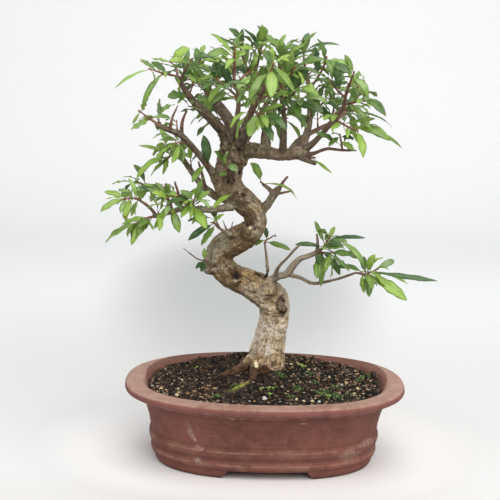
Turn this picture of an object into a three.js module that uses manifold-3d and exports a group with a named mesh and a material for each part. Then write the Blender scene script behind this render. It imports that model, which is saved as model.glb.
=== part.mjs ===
// Pomegranate bonsai in an oval stoneware pot, in millimetres, with +Z up.
// The trunk climbs from the soil in two bends and carries a round crown, with a low branch on each side.
import * as THREE from "three";
import { mergeGeometries, mergeVertices } from "three/addons/utils/BufferGeometryUtils.js";
import Module from "manifold-3d";

const wasm = await Module();
wasm.setup();

// Driving dimensions

const POT_LENGTH = 202;
const POT_WIDTH = 152;
const POT_HEIGHT = 58;
const POT_OVAL = 2.35; // power of the superellipse that the pot follows
const POT_SIDES = 44;
const RIM_WIDTH = 14;
const FOOT_HEIGHT = 6.5;
const FLOOR_TOP = 12;
const NOTCH_TOP_WIDTH = 54;
const NOTCH_FOOT_WIDTH = 66;
const NOTCH_SHIFT = 2.5; // the notches were cut a little right of the middle
const DRAIN_SPACING = 62;
const DRAIN_DIAMETER = 15;

const GAP = 0.3; // clearance between pieces that rest on each other
const SOIL_EDGE = 51;
const SOIL_MOUND = 7;
const SOIL_SIDES = 32;

const MESH_SIZE = 26;
const MESH_THICKNESS = 1.2;
const MESH_CELLS = 3;
const MESH_BAR = 2;

const TWIG_RADIUS = 0.9; // from its middle to a corner
const TWIG_TIP = 0.6;
const STATION = 1.3; // length of twig that carries a leaf or pair
const FIRST_STATION = 0.34; // share of the twig below its first station, then the share that carries leaves
const STATION_RUN = 0.6;
const END = "end"; // the port at the end of a twig
const END_WAY = 0.82; // how closely a leaf must follow the twig to leave it at its end
const BLADE_THICKNESS = 0.8;
const LEAF_CLEARANCE = 2.7;
const WOOD_CLEARANCE = 1.6;
const OWN_CLEARANCE = 1.5;
const TRIES = 16;

// The crown is kept clipped below this outline, as an eye in front sees it: x, and the height there.
const CROWN_OUTLINE = [[-87, 283], [-68, 289], [-47, 296], [-28, 308], [-7, 311], [3, 305], [30, 306],
  [49, 293], [66, 274], [80, 256], [92, 228]];
const EYE_DISTANCE = 900;
const EYE_HEIGHT = 318.6;

// Centre of the whole plant, seen from above, measured from the middle of the pot.
const CENTRE = { x: 1.4, y: 13.8 };

// Wood: each row is a run of rings [x, y, z, radius] from the base of a limb to its tip.
const TRUNK = [[-1, 27, 45, 14.9], [0, 27, 59, 13.8], [1, 26, 70, 12.6], [3, 25, 81, 11.5],
  [5, 24, 92, 10.9], [6, 23, 103, 11], [4, 22, 112, 11.7], [-6, 22, 119, 11.1],
  [-16, 24, 124, 10.1], [-26, 26, 128, 9.5], [-34, 28, 136, 9.6], [-34, 28, 146, 10],
  [-27, 26, 152, 10.2], [-17, 22, 158, 9.6], [-10, 19, 165, 8.4], [-9, 18, 172, 8.1],
  [-12, 18, 179, 8.7], [-20, 18, 186, 9], [-27, 19, 192, 10.1], [-30, 20, 200, 9.9],
  [-29, 20, 208, 9.5], [-27, 20, 216, 9.8], [-25, 20, 223, 10.5], [-24, 20, 230, 8.9],
  [-23, 20, 235, 5.7]];

const LIMBS = {
  crown_left: [[-28, 20, 224, 5.4], [-34, 16, 235, 4.1], [-43, 10, 245, 3.5], [-51, 5, 253, 3],
    [-58, 2, 261, 2.4], [-63, 0, 269, 2.1], [-66, -2, 274, 2.1]],
  crown_left_back: [[-24, 22, 231, 5], [-30, 27, 242, 4.3], [-36, 31, 250, 3.9], [-43, 34, 258, 3.5],
    [-48, 36, 267, 2.9], [-53, 37, 272, 2.2]],
  leader_front: [[-23, 12, 228, 3.5], [-24, 4, 240, 2.4], [-23, 0, 251, 1.9], [-23, -3, 262, 1.6],
    [-26, -5, 272, 1.4], [-26, -6, 283, 1.2]],
  leader_back: [[-20, 24, 229, 3.7], [-17, 32, 240, 2.9], [-13, 39, 250, 2.3], [-12, 45, 261, 1.9],
    [-12, 49, 271, 1.6], [-10, 51, 283, 1.3]],
  crown_front: [[-21, 8, 225, 3.7], [-17, -10, 238, 2.4], [-13, -24, 252, 1.8], [-8, -34, 263, 1.5],
    [-4, -40, 273, 1.3]],
  crown_right: [[-21, 17, 222, 7.1], [-11, 12, 222, 5.5], [-1, 8, 221, 4.7], [10, 6, 220, 4],
    [19, 4, 222, 4.8], [26, 2, 223, 4.2]],
  right_stub: [[21, 3, 219, 2.4], [27, 0, 217, 2], [32, -3, 215, 1.5]],
  right_low: [[24, 2, 220, 2.1], [31, -6, 223, 1.5], [39, -14, 227, 1.3], [49, -22, 227, 1.1],
    [58, -30, 228, 0.8]],
  right_outer: [[24, 2, 224, 2.8], [31, -4, 231, 2.2], [38, -10, 240, 2], [44, -14, 249, 1.9],
    [49, -18, 256, 1.7], [50, -22, 264, 1.4], [52, -27, 273, 1.1]],
  right_leader: [[23, 5, 226, 3.4], [26, 14, 235, 2.7], [28, 20, 245, 2.4], [28, 26, 254, 2],
    [27, 32, 267, 1.7], [25, 37, 280, 1.4]],
  middle_back: [[-3, 12, 223, 4.1], [-3, 18, 235, 3.3], [-2, 25, 243, 2.6], [1, 34, 251, 2.1],
    [5, 43, 259, 1.7], [7, 52, 268, 1.3]],
  middle_front: [[9, 6, 221, 3.2], [9, -6, 236, 2.4], [9, -12, 247, 2], [7, -17, 258, 1.7],
    [6, -22, 269, 1.4], [5, -26, 280, 1.1]],
  right_back: [[14, 8, 222, 2.7], [22, 22, 230, 2.2], [35, 36, 236, 1.7], [49, 48, 242, 1.5],
    [59, 57, 251, 1.2]],
  back_left: [[-26, 27, 222, 4.6], [-29, 42, 232, 3.2], [-33, 58, 241, 2.4], [-37, 71, 249, 1.8],
    [-39, 80, 258, 1.4]],
  back_right: [[-21, 24, 225, 4.2], [-13, 46, 235, 3.1], [-6, 61, 245, 2.4], [-1, 73, 254, 1.8],
    [4, 81, 264, 1.4]],
  shoulder_left: [[-36, 19, 196, 3.6], [-43, 12, 209, 2.7], [-50, 4, 219, 2.3], [-58, -2, 229, 2.2],
    [-65, -6, 235, 2.3], [-73, -9, 238, 1.9], [-80, -11, 242, 1.4]],
  shoulder_spur: [[-62, -4, 233, 1.7], [-62, 2, 242, 1.3], [-59, 6, 250, 0.9]],
  shoulder_spur_low: [[-70, -8, 237, 1.4], [-68, -14, 246, 1], [-64, -18, 255, 0.8]],
  back_shoulder: [[-30, 21, 187, 4], [-37, 23, 187, 3.4], [-46, 27, 192, 2.8], [-53, 31, 199, 2.4], [-60, 35, 208, 2.1],
    [-66, 38, 215, 1.9], [-73, 40, 219, 1.5], [-83, 42, 221, 1]],
  back_shoulder_spur: [[-46, 24, 192, 1.7], [-48, 20, 202, 1.3], [-51, 17, 213, 0.9]],
  low_left: [[-26, 12, 182, 3.6], [-37, 7, 180, 2.6], [-48, 3, 180, 2.2], [-57, -2, 182, 2],
    [-67, -7, 180, 1.8], [-75, -11, 178, 1.6], [-81, -14, 177, 1.5]],
  low_left_fork: [[-79, -13, 178, 1.5], [-82, -17, 183, 1.3], [-86, -20, 187, 1.2],
    [-90, -23, 190, 1]],
  low_left_spur: [[-62, -4, 182, 1.6], [-63, -9, 191, 1.3], [-66, -13, 202, 0.9]],
  low_left_back: [[-53, 1, 181, 1.8], [-64, 14, 185, 1.4], [-77, 25, 189, 1.2], [-88, 33, 192, 0.9]],
  right_snag: [[-7, 16, 176, 4], [-1, 13, 183, 3.2], [3, 11, 190, 3.1], [7, 9, 196, 2.4]],
  snag_fork_left: [[4, 10, 191, 2.1], [-1, 8, 196, 1.6], [-5, 6, 199, 1.2]],
  snag_fork_up: [[7, 9, 195, 1.7], [10, 6, 201, 1.2], [13, 4, 205, 0.9]],
  snag_fork_right: [[4, 12, 191, 1.6], [11, 15, 192, 1.1], [17, 18, 193, 0.9]],
  low_right: [[-2, 16, 122, 4.7], [7, 10, 131, 2.7], [14, 7, 134, 2.8], [18, 5, 140, 2.7],
    [23, 3, 146, 2.2], [30, 1, 149, 1.9], [37, -1, 153, 1.9]],
  low_right_sweep: [[13, 8, 134, 2], [24, 4, 132, 1.5], [33, 0, 129, 1.4], [47, -6, 133, 1.1],
    [56, -10, 137, 1.1], [62, -13, 140, 0.9]],
  low_right_spur: [[35, -1, 152, 1.6], [35, -4, 160, 1.2], [34, -6, 166, 0.9]],
  low_right_riser: [[-2, 20, 122, 3.4], [0, 18, 131, 1.8], [0, 20, 138, 1.3], [-1, 24, 146, 1.1], [-2, 27, 152, 0.9]],
  low_right_inner: [[5, 12, 129, 2.4], [8, 2, 140, 1.3], [14, -4, 148, 1.1], [19, -8, 155, 1.1],
    [23, -10, 159, 0.8]],
  left_whip: [[-35, 23, 138, 2.6], [-39, 17, 139, 1.8], [-44, 11, 142, 0.9], [-50, 5, 144, 0.8], [-60, -2, 153, 0.6]],
  left_snag: [[-24, 19, 157, 4.6], [-32, 9, 164, 2.1], [-36, 3, 168, 1.4]],
};

const ROOTS = {
  root_left: [[-1, 25, 70, 8], [-10, 23, 64, 6], [-18, 21, 59, 4.4], [-27, 17, 55.5, 3], [-38, 12, 52.4, 2]],
  root_pale: [[-4, 18, 64, 5], [-8, 11, 60, 3.4], [-9, 3, 57, 2.5], [-12, -5, 55.8, 2.1],
    [-18, -13, 54.6, 2], [-26, -20, 52.6, 1.6]],
  root_right: [[3, 25, 58, 7], [12, 21, 54, 5], [22, 16, 50, 3]],
  root_back: [[0, 32, 60, 7], [-3, 40, 55, 5], [-7, 48, 51, 3]],
  root_left_back: [[-2, 30, 62, 7], [-13, 35, 57, 5], [-24, 39, 51, 3]],
};

const KNOTS = {
  knot_right: [[4, 20, 104, 7], [10, 14, 106.5, 5.4], [13, 11, 107.5, 3.4]],
  knot_elbow: [[-2, 20, 116, 8], [2, 13, 121, 6.4], [3, 10, 123.5, 4.2]],
  knot_hollow: [[-25, 24, 128, 8], [-22, 16, 128, 5.6], [-21, 13, 128, 3.8]],
  knot_left: [[-34, 28, 138, 8], [-42, 23, 134, 5], [-45, 21, 133, 3.2]],
  knot_upper: [[-16, 20, 160, 8], [-12, 12, 163, 5.6], [-11, 9.5, 164, 3.6]],
  knot_neck: [[-20, 18, 186, 8], [-16, 10, 189, 5.4], [-15, 8, 190, 3.4]],
  knot_fork: [[-26, 20, 216, 9], [-20, 13, 217, 7], [-18, 11, 217.5, 4.6]],
  knot_back: [[-30, 22, 200, 8], [-36, 30, 202, 5.4], [-38, 33, 203, 3.4]],
};

// Sprays: the twig's points, the leaves read from the plant one by one, and the pairs that fill it up.
// A blade is [tip, width, arch]. young runs from 0, deep green, to 1, fresh green.
const SPRAYS = [
  {
    name: "crown_left_tip", young: 0.45, pairs: 0, length: 18,
    twig: [[-66, -2, 274], [-74, -10, 276], [-83, -17, 279]],
    blades: [[[-84, 2, 283], 4.2, 0.15], [[-88, -22, 253], 4.1, 0.22], [[-91, -10, 285], 3.4, 0.1],
      [[-106, -30, 266], 2.7, 0.1]],
  },
  {
    name: "crown_left_top", young: 0.5, pairs: 2, length: 19,
    twig: [[-65, -2, 273], [-67, 6, 279], [-71, 12, 283]],
    blades: [[[-85, 8, 285], 3.5, 0.1], [[-58, 16, 293], 7.7, 0.2]],
  },
  {
    name: "crown_left_front", young: 0.6, pairs: 2, length: 20,
    twig: [[-63, 0, 271], [-60, -10, 278], [-55, -18, 286]],
    blades: [[[-70, -14, 281], 4.1, 0.1], [[-70, -24, 285], 7.4, 0.18], [[-38, -26, 286], 6.7, 0.2]],
  },
  {
    name: "crown_left_single", young: 0.2, pairs: 0, length: 20,
    twig: [[-56, 2, 259], [-57, -6, 260], [-58, -12, 261]],
    blades: [[[-71, -18, 260], 8.2, 0.15]],
  },
  {
    name: "left_back_tip", young: 0.35, pairs: 1, length: 21,
    twig: [[-52, 37, 271], [-53, 34, 278], [-51, 30, 285]],
    blades: [[[-63, 26, 268], 6.4, 0.15], [[-35, 26, 283], 6.4, 0.2]],
  },
  {
    name: "left_back_mid", young: 0.2, pairs: 2, length: 21,
    twig: [[-45, 35, 262], [-41, 26, 270], [-36, 18, 276]],
    blades: [[[-53, 10, 279], 7, 0.12]],
  },
  {
    name: "left_back_far", young: 0.1, pairs: 3, length: 20,
    twig: [[-42, 34, 256], [-49, 46, 262], [-55, 56, 267]],
    blades: [],
  },
  {
    name: "leader_front_tip", young: 0.85, pairs: 0, length: 20,
    twig: [[-26, -6, 282], [-26, -9, 288], [-26, -11, 295]],
    blades: [[[-32, -26, 280], 5.4, 0.2], [[-46, -22, 287], 6.8, 0.22], [[-42, -14, 304], 5.4, 0.06],
      [[-24, 2, 301], 5.5, 0.1], [[-13, -16, 294], 3.4, 0.1]],
  },
  {
    name: "leader_front_left", young: 0.35, pairs: 3, length: 19,
    twig: [[-23, -3, 260], [-30, -14, 267], [-37, -22, 273]],
    blades: [],
  },
  {
    name: "leader_front_right", young: 0.3, pairs: 3, length: 19,
    twig: [[-25, -5, 269], [-20, 4, 274], [-15, 12, 278]],
    blades: [],
  },
  {
    name: "leader_back_tip", young: 0.3, pairs: 2, length: 20,
    twig: [[-10, 51, 281], [-8, 46, 290], [-7, 42, 297]],
    blades: [[[-21, 40, 307], 4.3, 0.15], [[-8, 34, 310], 9.3, 0.1]],
  },
  {
    name: "leader_back_left", young: 0.15, pairs: 3, length: 18,
    twig: [[-12, 49, 270], [-18, 38, 280], [-22, 30, 291], [-22, 26, 297]],
    blades: [[[-31, 18, 307], 4.9, 0.12], [[-44, 18, 303], 3.5, 0.06]],
  },
  {
    name: "leader_back_rear", young: 0.1, pairs: 3, length: 20,
    twig: [[-12, 44, 260], [-18, 58, 265], [-23, 70, 270]],
    blades: [],
  },
  {
    name: "front_top", young: 0.6, pairs: 1, length: 22,
    twig: [[-4, -40, 272], [-2, -46, 279], [0, -50, 285]],
    blades: [[[-15, -58, 261], 6.5, 0.2], [[-1, -66, 264], 9, 0.16], [[14, -64, 268], 4.5, 0.12],
      [[-6, -40, 293], 5.9, 0.1]],
  },
  {
    name: "front_mid", young: 0.4, pairs: 2, length: 20,
    twig: [[-8, -34, 262], [-10, -46, 267], [-15, -54, 271]],
    blades: [],
  },
  {
    name: "front_low", young: 0.55, pairs: 0, length: 20,
    twig: [[-12, -25, 253], [-9, -35, 252], [-7, -43, 251]],
    blades: [[[-15, -46, 237], 8.6, 0.12], [[7, -48, 259], 4, 0.1], [[1, -52, 235], 7.3, 0.12],
      [[-3, -60, 244], 5.9, 0.2], [[10, -52, 242], 5.9, 0.2]],
  },
  {
    name: "middle_front_tip", young: 0.4, pairs: 3, length: 19,
    twig: [[5, -26, 279], [6, -28, 287], [5, -28, 295]],
    blades: [[[-5, -22, 304], 4.7, 0.12]],
  },
  {
    name: "middle_front_red", young: 0.3, pairs: 2, length: 22,
    twig: [[6, -24, 274], [11, -36, 277], [14, -44, 283]],
    blades: [],
  },
  {
    name: "middle_front_big", young: 0.15, pairs: 1, length: 24,
    twig: [[7, -19, 261], [13, -32, 264], [17, -42, 270]],
    blades: [[[30, -52, 265], 8, 0.15], [[24, -42, 283], 8, 0.12]],
  },
  {
    name: "middle_front_low", young: 0.2, pairs: 0, length: 24,
    twig: [[9, -14, 253], [14, -22, 256], [18, -29, 260]],
    blades: [[[18, -34, 250], 8.1, 0.15], [[35, -34, 253], 8.7, 0.15], [[37, -44, 260], 6.6, 0.2]],
  },
  {
    name: "right_leader_tip", young: 0.35, pairs: 2, length: 20,
    twig: [[25, 37, 278], [23, 35, 288], [23, 32, 296]],
    blades: [[[7, 30, 292], 5, 0.3], [[48, 26, 297], 2.8, 0.15], [[32, 26, 306], 3.5, 0.05]],
  },
  {
    name: "right_leader_outer", young: 0.4, pairs: 3, length: 22,
    twig: [[27, 31, 264], [33, 22, 274], [37, 14, 283], [38, 10, 288]],
    blades: [[[55, 4, 282], 8.4, 0.15]],
  },
  {
    name: "right_leader_low", young: 0.15, pairs: 3, length: 21,
    twig: [[28, 21, 246], [33, 12, 253], [38, 4, 259]],
    blades: [],
  },
  {
    name: "right_outer_tip", young: 0.35, pairs: 1, length: 20,
    twig: [[52, -26, 271], [53, -30, 276], [54, -34, 280]],
    blades: [[[64, -38, 264], 5.3, 0.3], [[41, -30, 284], 6.7, 0.12]],
  },
  {
    name: "right_outer_inner", young: 0.2, pairs: 3, length: 20,
    twig: [[50, -21, 263], [45, -12, 267], [41, -4, 272]],
    blades: [],
  },
  {
    name: "right_outer_reach", young: 0.4, pairs: 0, length: 22,
    twig: [[49, -19, 258], [55, -29, 260], [61, -37, 262]],
    blades: [[[62, -40, 251], 4.7, 0.15], [[54, -42, 270], 6, 0.1], [[71, -26, 259], 6.8, 0.2],
      [[75, -50, 253], 5.9, 0.18]],
  },
  {
    name: "right_outer_back", young: 0.3, pairs: 1, length: 22,
    twig: [[48, -18, 255], [54, -10, 253], [60, -2, 253]],
    blades: [[[67, 0, 241], 6.3, 0.25], [[85, 2, 241], 2.8, 0.12]],
  },
  {
    name: "right_outer_low", young: 0.65, pairs: 0, length: 22,
    twig: [[44, -14, 247], [51, -28, 244], [57, -40, 242]],
    blades: [[[70, -34, 250], 3.4, 0.05], [[40, -42, 242], 5.3, 0.1], [[89, -32, 230], 3, 0.15],
      [[61, -50, 225], 6, 0.12], [[79, -42, 236], 6.7, 0.2]],
  },
  {
    name: "right_low_tip", young: 0.25, pairs: 1, length: 19,
    twig: [[49, -22, 227], [48, -24, 232], [47, -25, 237]],
    blades: [[[56, -34, 228], 4.7, 0.12], [[39, -30, 230], 4.7, 0.15], [[56, -30, 235], 4.1, 0.12]],
  },
  {
    name: "right_back_tip", young: 0.2, pairs: 3, length: 21,
    twig: [[58, 57, 250], [64, 60, 257], [68, 62, 263]],
    blades: [],
  },
  {
    name: "right_back_mid", young: 0.1, pairs: 3, length: 21,
    twig: [[44, 44, 240], [46, 42, 249], [46, 40, 258]],
    blades: [],
  },
  {
    name: "middle_back_tip", young: 0.2, pairs: 3, length: 21,
    twig: [[7, 52, 267], [11, 54, 276], [14, 54, 286]],
    blades: [],
  },
  {
    name: "back_left_tip", young: 0.2, pairs: 3, length: 21,
    twig: [[-39, 80, 257], [-41, 84, 264], [-44, 86, 272]],
    blades: [],
  },
  {
    name: "back_left_low", young: 0.1, pairs: 3, length: 21,
    twig: [[-32, 56, 239], [-42, 66, 241], [-51, 74, 245]],
    blades: [],
  },
  {
    name: "back_right_tip", young: 0.2, pairs: 3, length: 21,
    twig: [[4, 80, 262], [8, 83, 270], [13, 84, 277]],
    blades: [],
  },
  {
    name: "back_right_low", young: 0.1, pairs: 3, length: 21,
    twig: [[-8, 58, 243], [3, 70, 240], [13, 80, 240]],
    blades: [],
  },
  {
    name: "right_stub_leaf", young: 0.2, pairs: 0, length: 20,
    twig: [[28, -1, 219], [30, -6, 220], [31, -9, 220]],
    blades: [[[43, -14, 210], 2.4, 0.12]],
  },
  {
    name: "trunk_front_leaves", young: 0.45, pairs: 0, length: 18,
    twig: [[-31, 10, 206], [-30, 0, 210], [-30, -8, 213]],
    blades: [[[-35, -10, 206], 4.9, 0.1], [[-22, -14, 210], 5.5, 0.15], [[-39, -16, 224], 6.2, 0.1],
      [[-29, -16, 223], 6.2, 0.12]],
  },
  {
    name: "trunk_front_blade", young: 0.35, pairs: 0, length: 22,
    twig: [[-25, 14, 189], [-24, 3, 193], [-23, -5, 196]],
    blades: [[[-39, -18, 184], 3.8, 0.06]],
  },
  {
    name: "shoulder_tip", young: 0.6, pairs: 0, length: 18,
    twig: [[-79, -11, 242], [-85, -13, 246], [-90, -15, 250]],
    blades: [[[-97, -14, 237], 6.2, 0.12], [[-70, -4, 245], 3.5, 0.1], [[-84, -19, 260], 6, 0.1]],
  },
  {
    name: "shoulder_dark", young: 0.1, pairs: 1, length: 17,
    twig: [[-61, -3, 231], [-63, 4, 227], [-65, 10, 224]],
    blades: [[[-70, 6, 221], 6.4, 0.15], [[-58, 10, 224], 5.7, 0.1]],
  },
  {
    name: "shoulder_blade", young: 0.12, pairs: 0, length: 24,
    twig: [[-43, 12, 209], [-44, 6, 211], [-45, 1, 213]],
    blades: [[[-47, -4, 234], 7, 0.08]],
  },
  {
    name: "back_shoulder_tip", young: 0.7, pairs: 0, length: 20,
    twig: [[-70, 39, 217], [-72, 31, 215], [-73, 24, 214]],
    blades: [[[-95, 30, 222], 2.9, 0.1], [[-55, 22, 214], 4.3, 0.15], [[-81, 18, 224], 7.1, 0.12],
      [[-86, 28, 200], 3.6, 0.2], [[-95, 14, 199], 5.7, 0.2]],
  },
  {
    name: "pad_outer", young: 0.5, pairs: 0, length: 20,
    twig: [[-89, -23, 190], [-94, -29, 192], [-99, -35, 192]],
    blades: [[[-104, -20, 197], 6.9, 0.12], [[-98, -42, 181], 5, 0.15], [[-113, -30, 196], 4, 0.1],
      [[-114, -44, 184], 5, 0.12]],
  },
  {
    name: "pad_end", young: 0.5, pairs: 0, length: 24,
    twig: [[-80, -14, 177], [-85, -20, 177], [-90, -26, 175]],
    blades: [[[-103, -14, 171], 5, 0.1], [[-94, -34, 160], 5.9, 0.14],
      [[-112, -34, 161], 5.2, 0.12]],
  },
  {
    name: "pad_front", young: 0.65, pairs: 0, length: 22,
    twig: [[-68, -7, 180], [-68, -16, 186], [-70, -22, 191]],
    blades: [[[-62, -20, 167], 6.2, 0.1], [[-79, -24, 170], 5.5, 0.15], [[-85, -20, 198], 4.8, 0.15],
      [[-81, -30, 196], 8.2, 0.15]],
  },
  {
    name: "pad_middle", young: 0.55, pairs: 0, length: 24,
    twig: [[-54, -1, 181], [-53, -10, 186], [-52, -17, 190]],
    blades: [[[-43, -26, 171], 8.6, 0.12], [[-71, -26, 188], 6.9, 0.15],
      [[-41, -18, 196], 5.5, 0.15], [[-62, -16, 196], 4.8, 0.15]],
  },
  {
    name: "pad_back", young: 0.3, pairs: 2, length: 20,
    twig: [[-87, 32, 191], [-92, 36, 193], [-97, 40, 194]],
    blades: [],
  },
  {
    name: "pad_underside", young: 0.15, pairs: 0, length: 22,
    twig: [[-36, 3, 168], [-38, -5, 172], [-40, -10, 173]],
    blades: [[[-47, -14, 157], 5.2, 0.12], [[-56, -16, 161], 5.2, 0.15],
      [[-31, -14, 180], 4.9, 0.12]],
  },
  {
    name: "left_whip_leaves", young: 0.2, pairs: 0, length: 14,
    twig: [[-44, 12, 141], [-45, 5, 143], [-45, 0, 145]],
    blades: [[[-47, -2, 136], 4.3, 0.1], [[-51, -6, 139], 3.9, 0.12], [[-45, -4, 154], 3.5, 0.1]],
  },
  {
    name: "snag_leaves", young: 0.35, pairs: 0, length: 22,
    twig: [[-4, 7, 198], [-5, 3, 200], [-6, 0, 201]],
    blades: [[[20, 6, 188], 2.5, 0.3], [[-14, -4, 215], 7, 0.05]],
  },
  {
    name: "low_right_top", young: 0.25, pairs: 0, length: 22,
    twig: [[37, -1, 152], [40, -5, 158], [43, -8, 164]],
    blades: [[[19, -2, 157], 3.5, 0.15], [[53, -18, 160], 3.5, 0.1], [[32, -10, 176], 3.9, 0.05],
      [[47, 2, 170], 3.5, 0.1], [[68, -14, 165], 3, 0.14]],
  },
  {
    name: "low_right_mid", young: 0.3, pairs: 0, length: 24,
    twig: [[36, -1, 151], [40, -8, 153], [44, -14, 154]],
    blades: [[[38, -6, 128], 5, 0.02], [[45, 4, 144], 5, 0.1], [[67, -18, 151], 6.3, 0.1],
      [[57, -24, 143], 4.5, 0.1]],
  },
  {
    name: "low_right_end", young: 0.5, pairs: 0, length: 26,
    twig: [[62, -13, 140], [69, -16, 140], [76, -19, 144]],
    blades: [[[47, -16, 144], 4.6, 0.1], [[51, -14, 162], 4.2, 0.28], [[71, -24, 125], 6.3, 0.1],
      [[74, -26, 156], 5.6, 0.1], [[97, -28, 124], 8.3, 0.12], [[100, -8, 131], 3, 0.12],
      [[89, -12, 149], 4.9, 0.1], [[118, -26, 138], 4.5, 0.14]],
  },
  {
    name: "low_right_riser_leaves", young: 0.2, pairs: 0, length: 22,
    twig: [[-2, 27, 152], [-1, 26, 155], [2, 25, 157]],
    blades: [[[17, 20, 149], 5.1, 0.12], [[-9, 30, 150], 3.7, 0.1], [[-2, 26, 165], 3.6, 0.1],
      [[6, 18, 159], 2.9, 0.1]],
  },
];

const VIEW_LEAN = [0, -0.72, 0.69]; // way that most of the leaves turn their upper face

// Small vector helpers on plain arrays

const add = (a, b) => a.map((v, i) => v + b[i]);
const sub = (a, b) => a.map((v, i) => v - b[i]);
const scale = (a, k) => a.map((v) => v * k);
const dot = (a, b) => a.reduce((sum, v, i) => sum + v * b[i], 0);
const size = (a) => Math.sqrt(dot(a, a));
const unit = (a) => scale(a, 1 / Math.max(size(a), 1e-9));
const cross = (a, b) => [
  a[1] * b[2] - a[2] * b[1],
  a[2] * b[0] - a[0] * b[2],
  a[0] * b[1] - a[1] * b[0],
];
const mix = (a, b, t) => a.map((v, i) => v + (b[i] - v) * t);

function square(axis, hint) {
  // Part of the hint that stands square to the axis.
  return unit(sub(hint, scale(axis, dot(axis, hint))));
}

function seeded(seed) {
  let state = seed;
  return () => {
    state = (state * 16807) % 2147483647;
    return state / 2147483647;
  };
}

function smoothPath(points, steps) {
  // A Catmull-Rom curve through the points, with any values that they carry.
  const last = points.length - 1;
  const path = [];
  for (let i = 0; i < last; i += 1) {
    const a = points[Math.max(i - 1, 0)];
    const b = points[i];
    const c = points[i + 1];
    const d = points[Math.min(i + 2, last)];
    for (let k = 0; k < steps; k += 1) {
      const t = k / steps;
      path.push(b.map((value, n) => 0.5 * (2 * value + (c[n] - a[n]) * t
        + (2 * a[n] - 5 * value + 4 * c[n] - d[n]) * t * t
        + (3 * value - a[n] - 3 * c[n] + d[n]) * t * t * t)));
    }
  }
  path.push([...points[last]]);
  return path;
}

// Solids

function toSolid(geometry) {
  const bare = geometry.clone();
  bare.deleteAttribute("normal");
  bare.deleteAttribute("uv");
  const merged = mergeVertices(bare, 1e-4);
  const index = merged.index.array;
  const kept = [];
  for (let i = 0; i < index.length; i += 3) {
    const [a, b, c] = [index[i], index[i + 1], index[i + 2]];
    if (a !== b && b !== c && c !== a) kept.push(a, b, c);
  }
  return new wasm.Manifold(new wasm.Mesh({
    numProp: 3,
    vertProperties: new Float32Array(merged.attributes.position.array),
    triVerts: new Uint32Array(kept),
  }));
}

function biggest(solid) {
  // The largest body, without the loose scraps of a cut.
  const bodies = solid.decompose();
  return bodies.reduce((best, body) => (body.volume() > best.volume() ? body : best));
}

function toMesh(name, solid, color, roughness) {
  const shape = solid.getMesh();
  const geometry = new THREE.BufferGeometry();
  geometry.setAttribute("position", new THREE.BufferAttribute(new Float32Array(shape.vertProperties), 3));
  geometry.setIndex(new THREE.BufferAttribute(new Uint32Array(shape.triVerts), 1));
  geometry.computeVertexNormals();
  const material = new THREE.MeshStandardMaterial({ color, roughness, metalness: 0 });
  const mesh = new THREE.Mesh(geometry, material);
  mesh.name = name;
  return mesh;
}

function bend(geometry, place) {
  // Moves each vertex to the place that the function gives for it.
  const position = geometry.attributes.position;
  for (let i = 0; i < position.count; i += 1) {
    position.setXYZ(i, ...place(position.getX(i), position.getY(i), position.getZ(i)));
  }
  return geometry;
}

function tube(rings, sides, { grow = 0, lobes = 0 } = {}) {
  // A closed tube along the rings, whose section may swell into lobes like old wood.
  const rows = rings.length - 1;
  const frames = [];
  let side = null;
  for (let i = 0; i <= rows; i += 1) {
    const before = rings[Math.max(i - 1, 0)];
    const after = rings[Math.min(i + 1, rows)];
    const along = unit(sub(after.slice(0, 3), before.slice(0, 3)));
    side = square(along, side ?? (Math.abs(along[0]) < 0.8 ? [1, 0, 0] : [0, 1, 0]));
    frames.push({ along, side, across: cross(side, along) });
  }
  const cylinder = new THREE.CylinderGeometry(1, 1, 1, sides, rows);
  return bend(cylinder, (x, y, z) => {
    const row = Math.round((y + 0.5) * rows);
    const ring = rings[row];
    const { side: s, across } = frames[row];
    const angle = Math.atan2(z, x);
    const swell = 1 + lobes * (Math.sin(3 * angle + row * 0.35) + 0.6 * Math.sin(5 * angle - row * 0.5));
    const reach = (ring[3] * swell + grow);
    return add(ring.slice(0, 3), add(scale(s, x * reach), scale(across, z * reach)));
  });
}

// Pot

function ovalRing(radius, angle) {
  // A point on the oval whose half length is the radius. The oval keeps its width less than its length.
  const narrow = (POT_LENGTH - POT_WIDTH) / 2;
  const half = radius - narrow * Math.min(1, radius / 60);
  const power = 2 / POT_OVAL;
  const s = Math.sin(angle);
  const c = Math.cos(angle);
  return [Math.sign(s) * radius * Math.abs(s) ** power, -Math.sign(c) * half * Math.abs(c) ** power];
}

function ovalLathe(profile, sides) {
  // Turns a profile of [half length, height] points round the oval.
  const points = profile.map(([radius, height]) => new THREE.Vector2(radius, height));
  const lathe = new THREE.LatheGeometry(points, sides);
  return bend(lathe, (x, y, z) => {
    const [px, py] = ovalRing(Math.hypot(x, z), Math.atan2(x, z));
    return [px, py, y];
  });
}

function post(width, depth, height, x, y, z) {
  // A plain block with its middle at x, y and z.
  return toSolid(new THREE.BoxGeometry(width, depth, height).translate(x, y, z));
}

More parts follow.
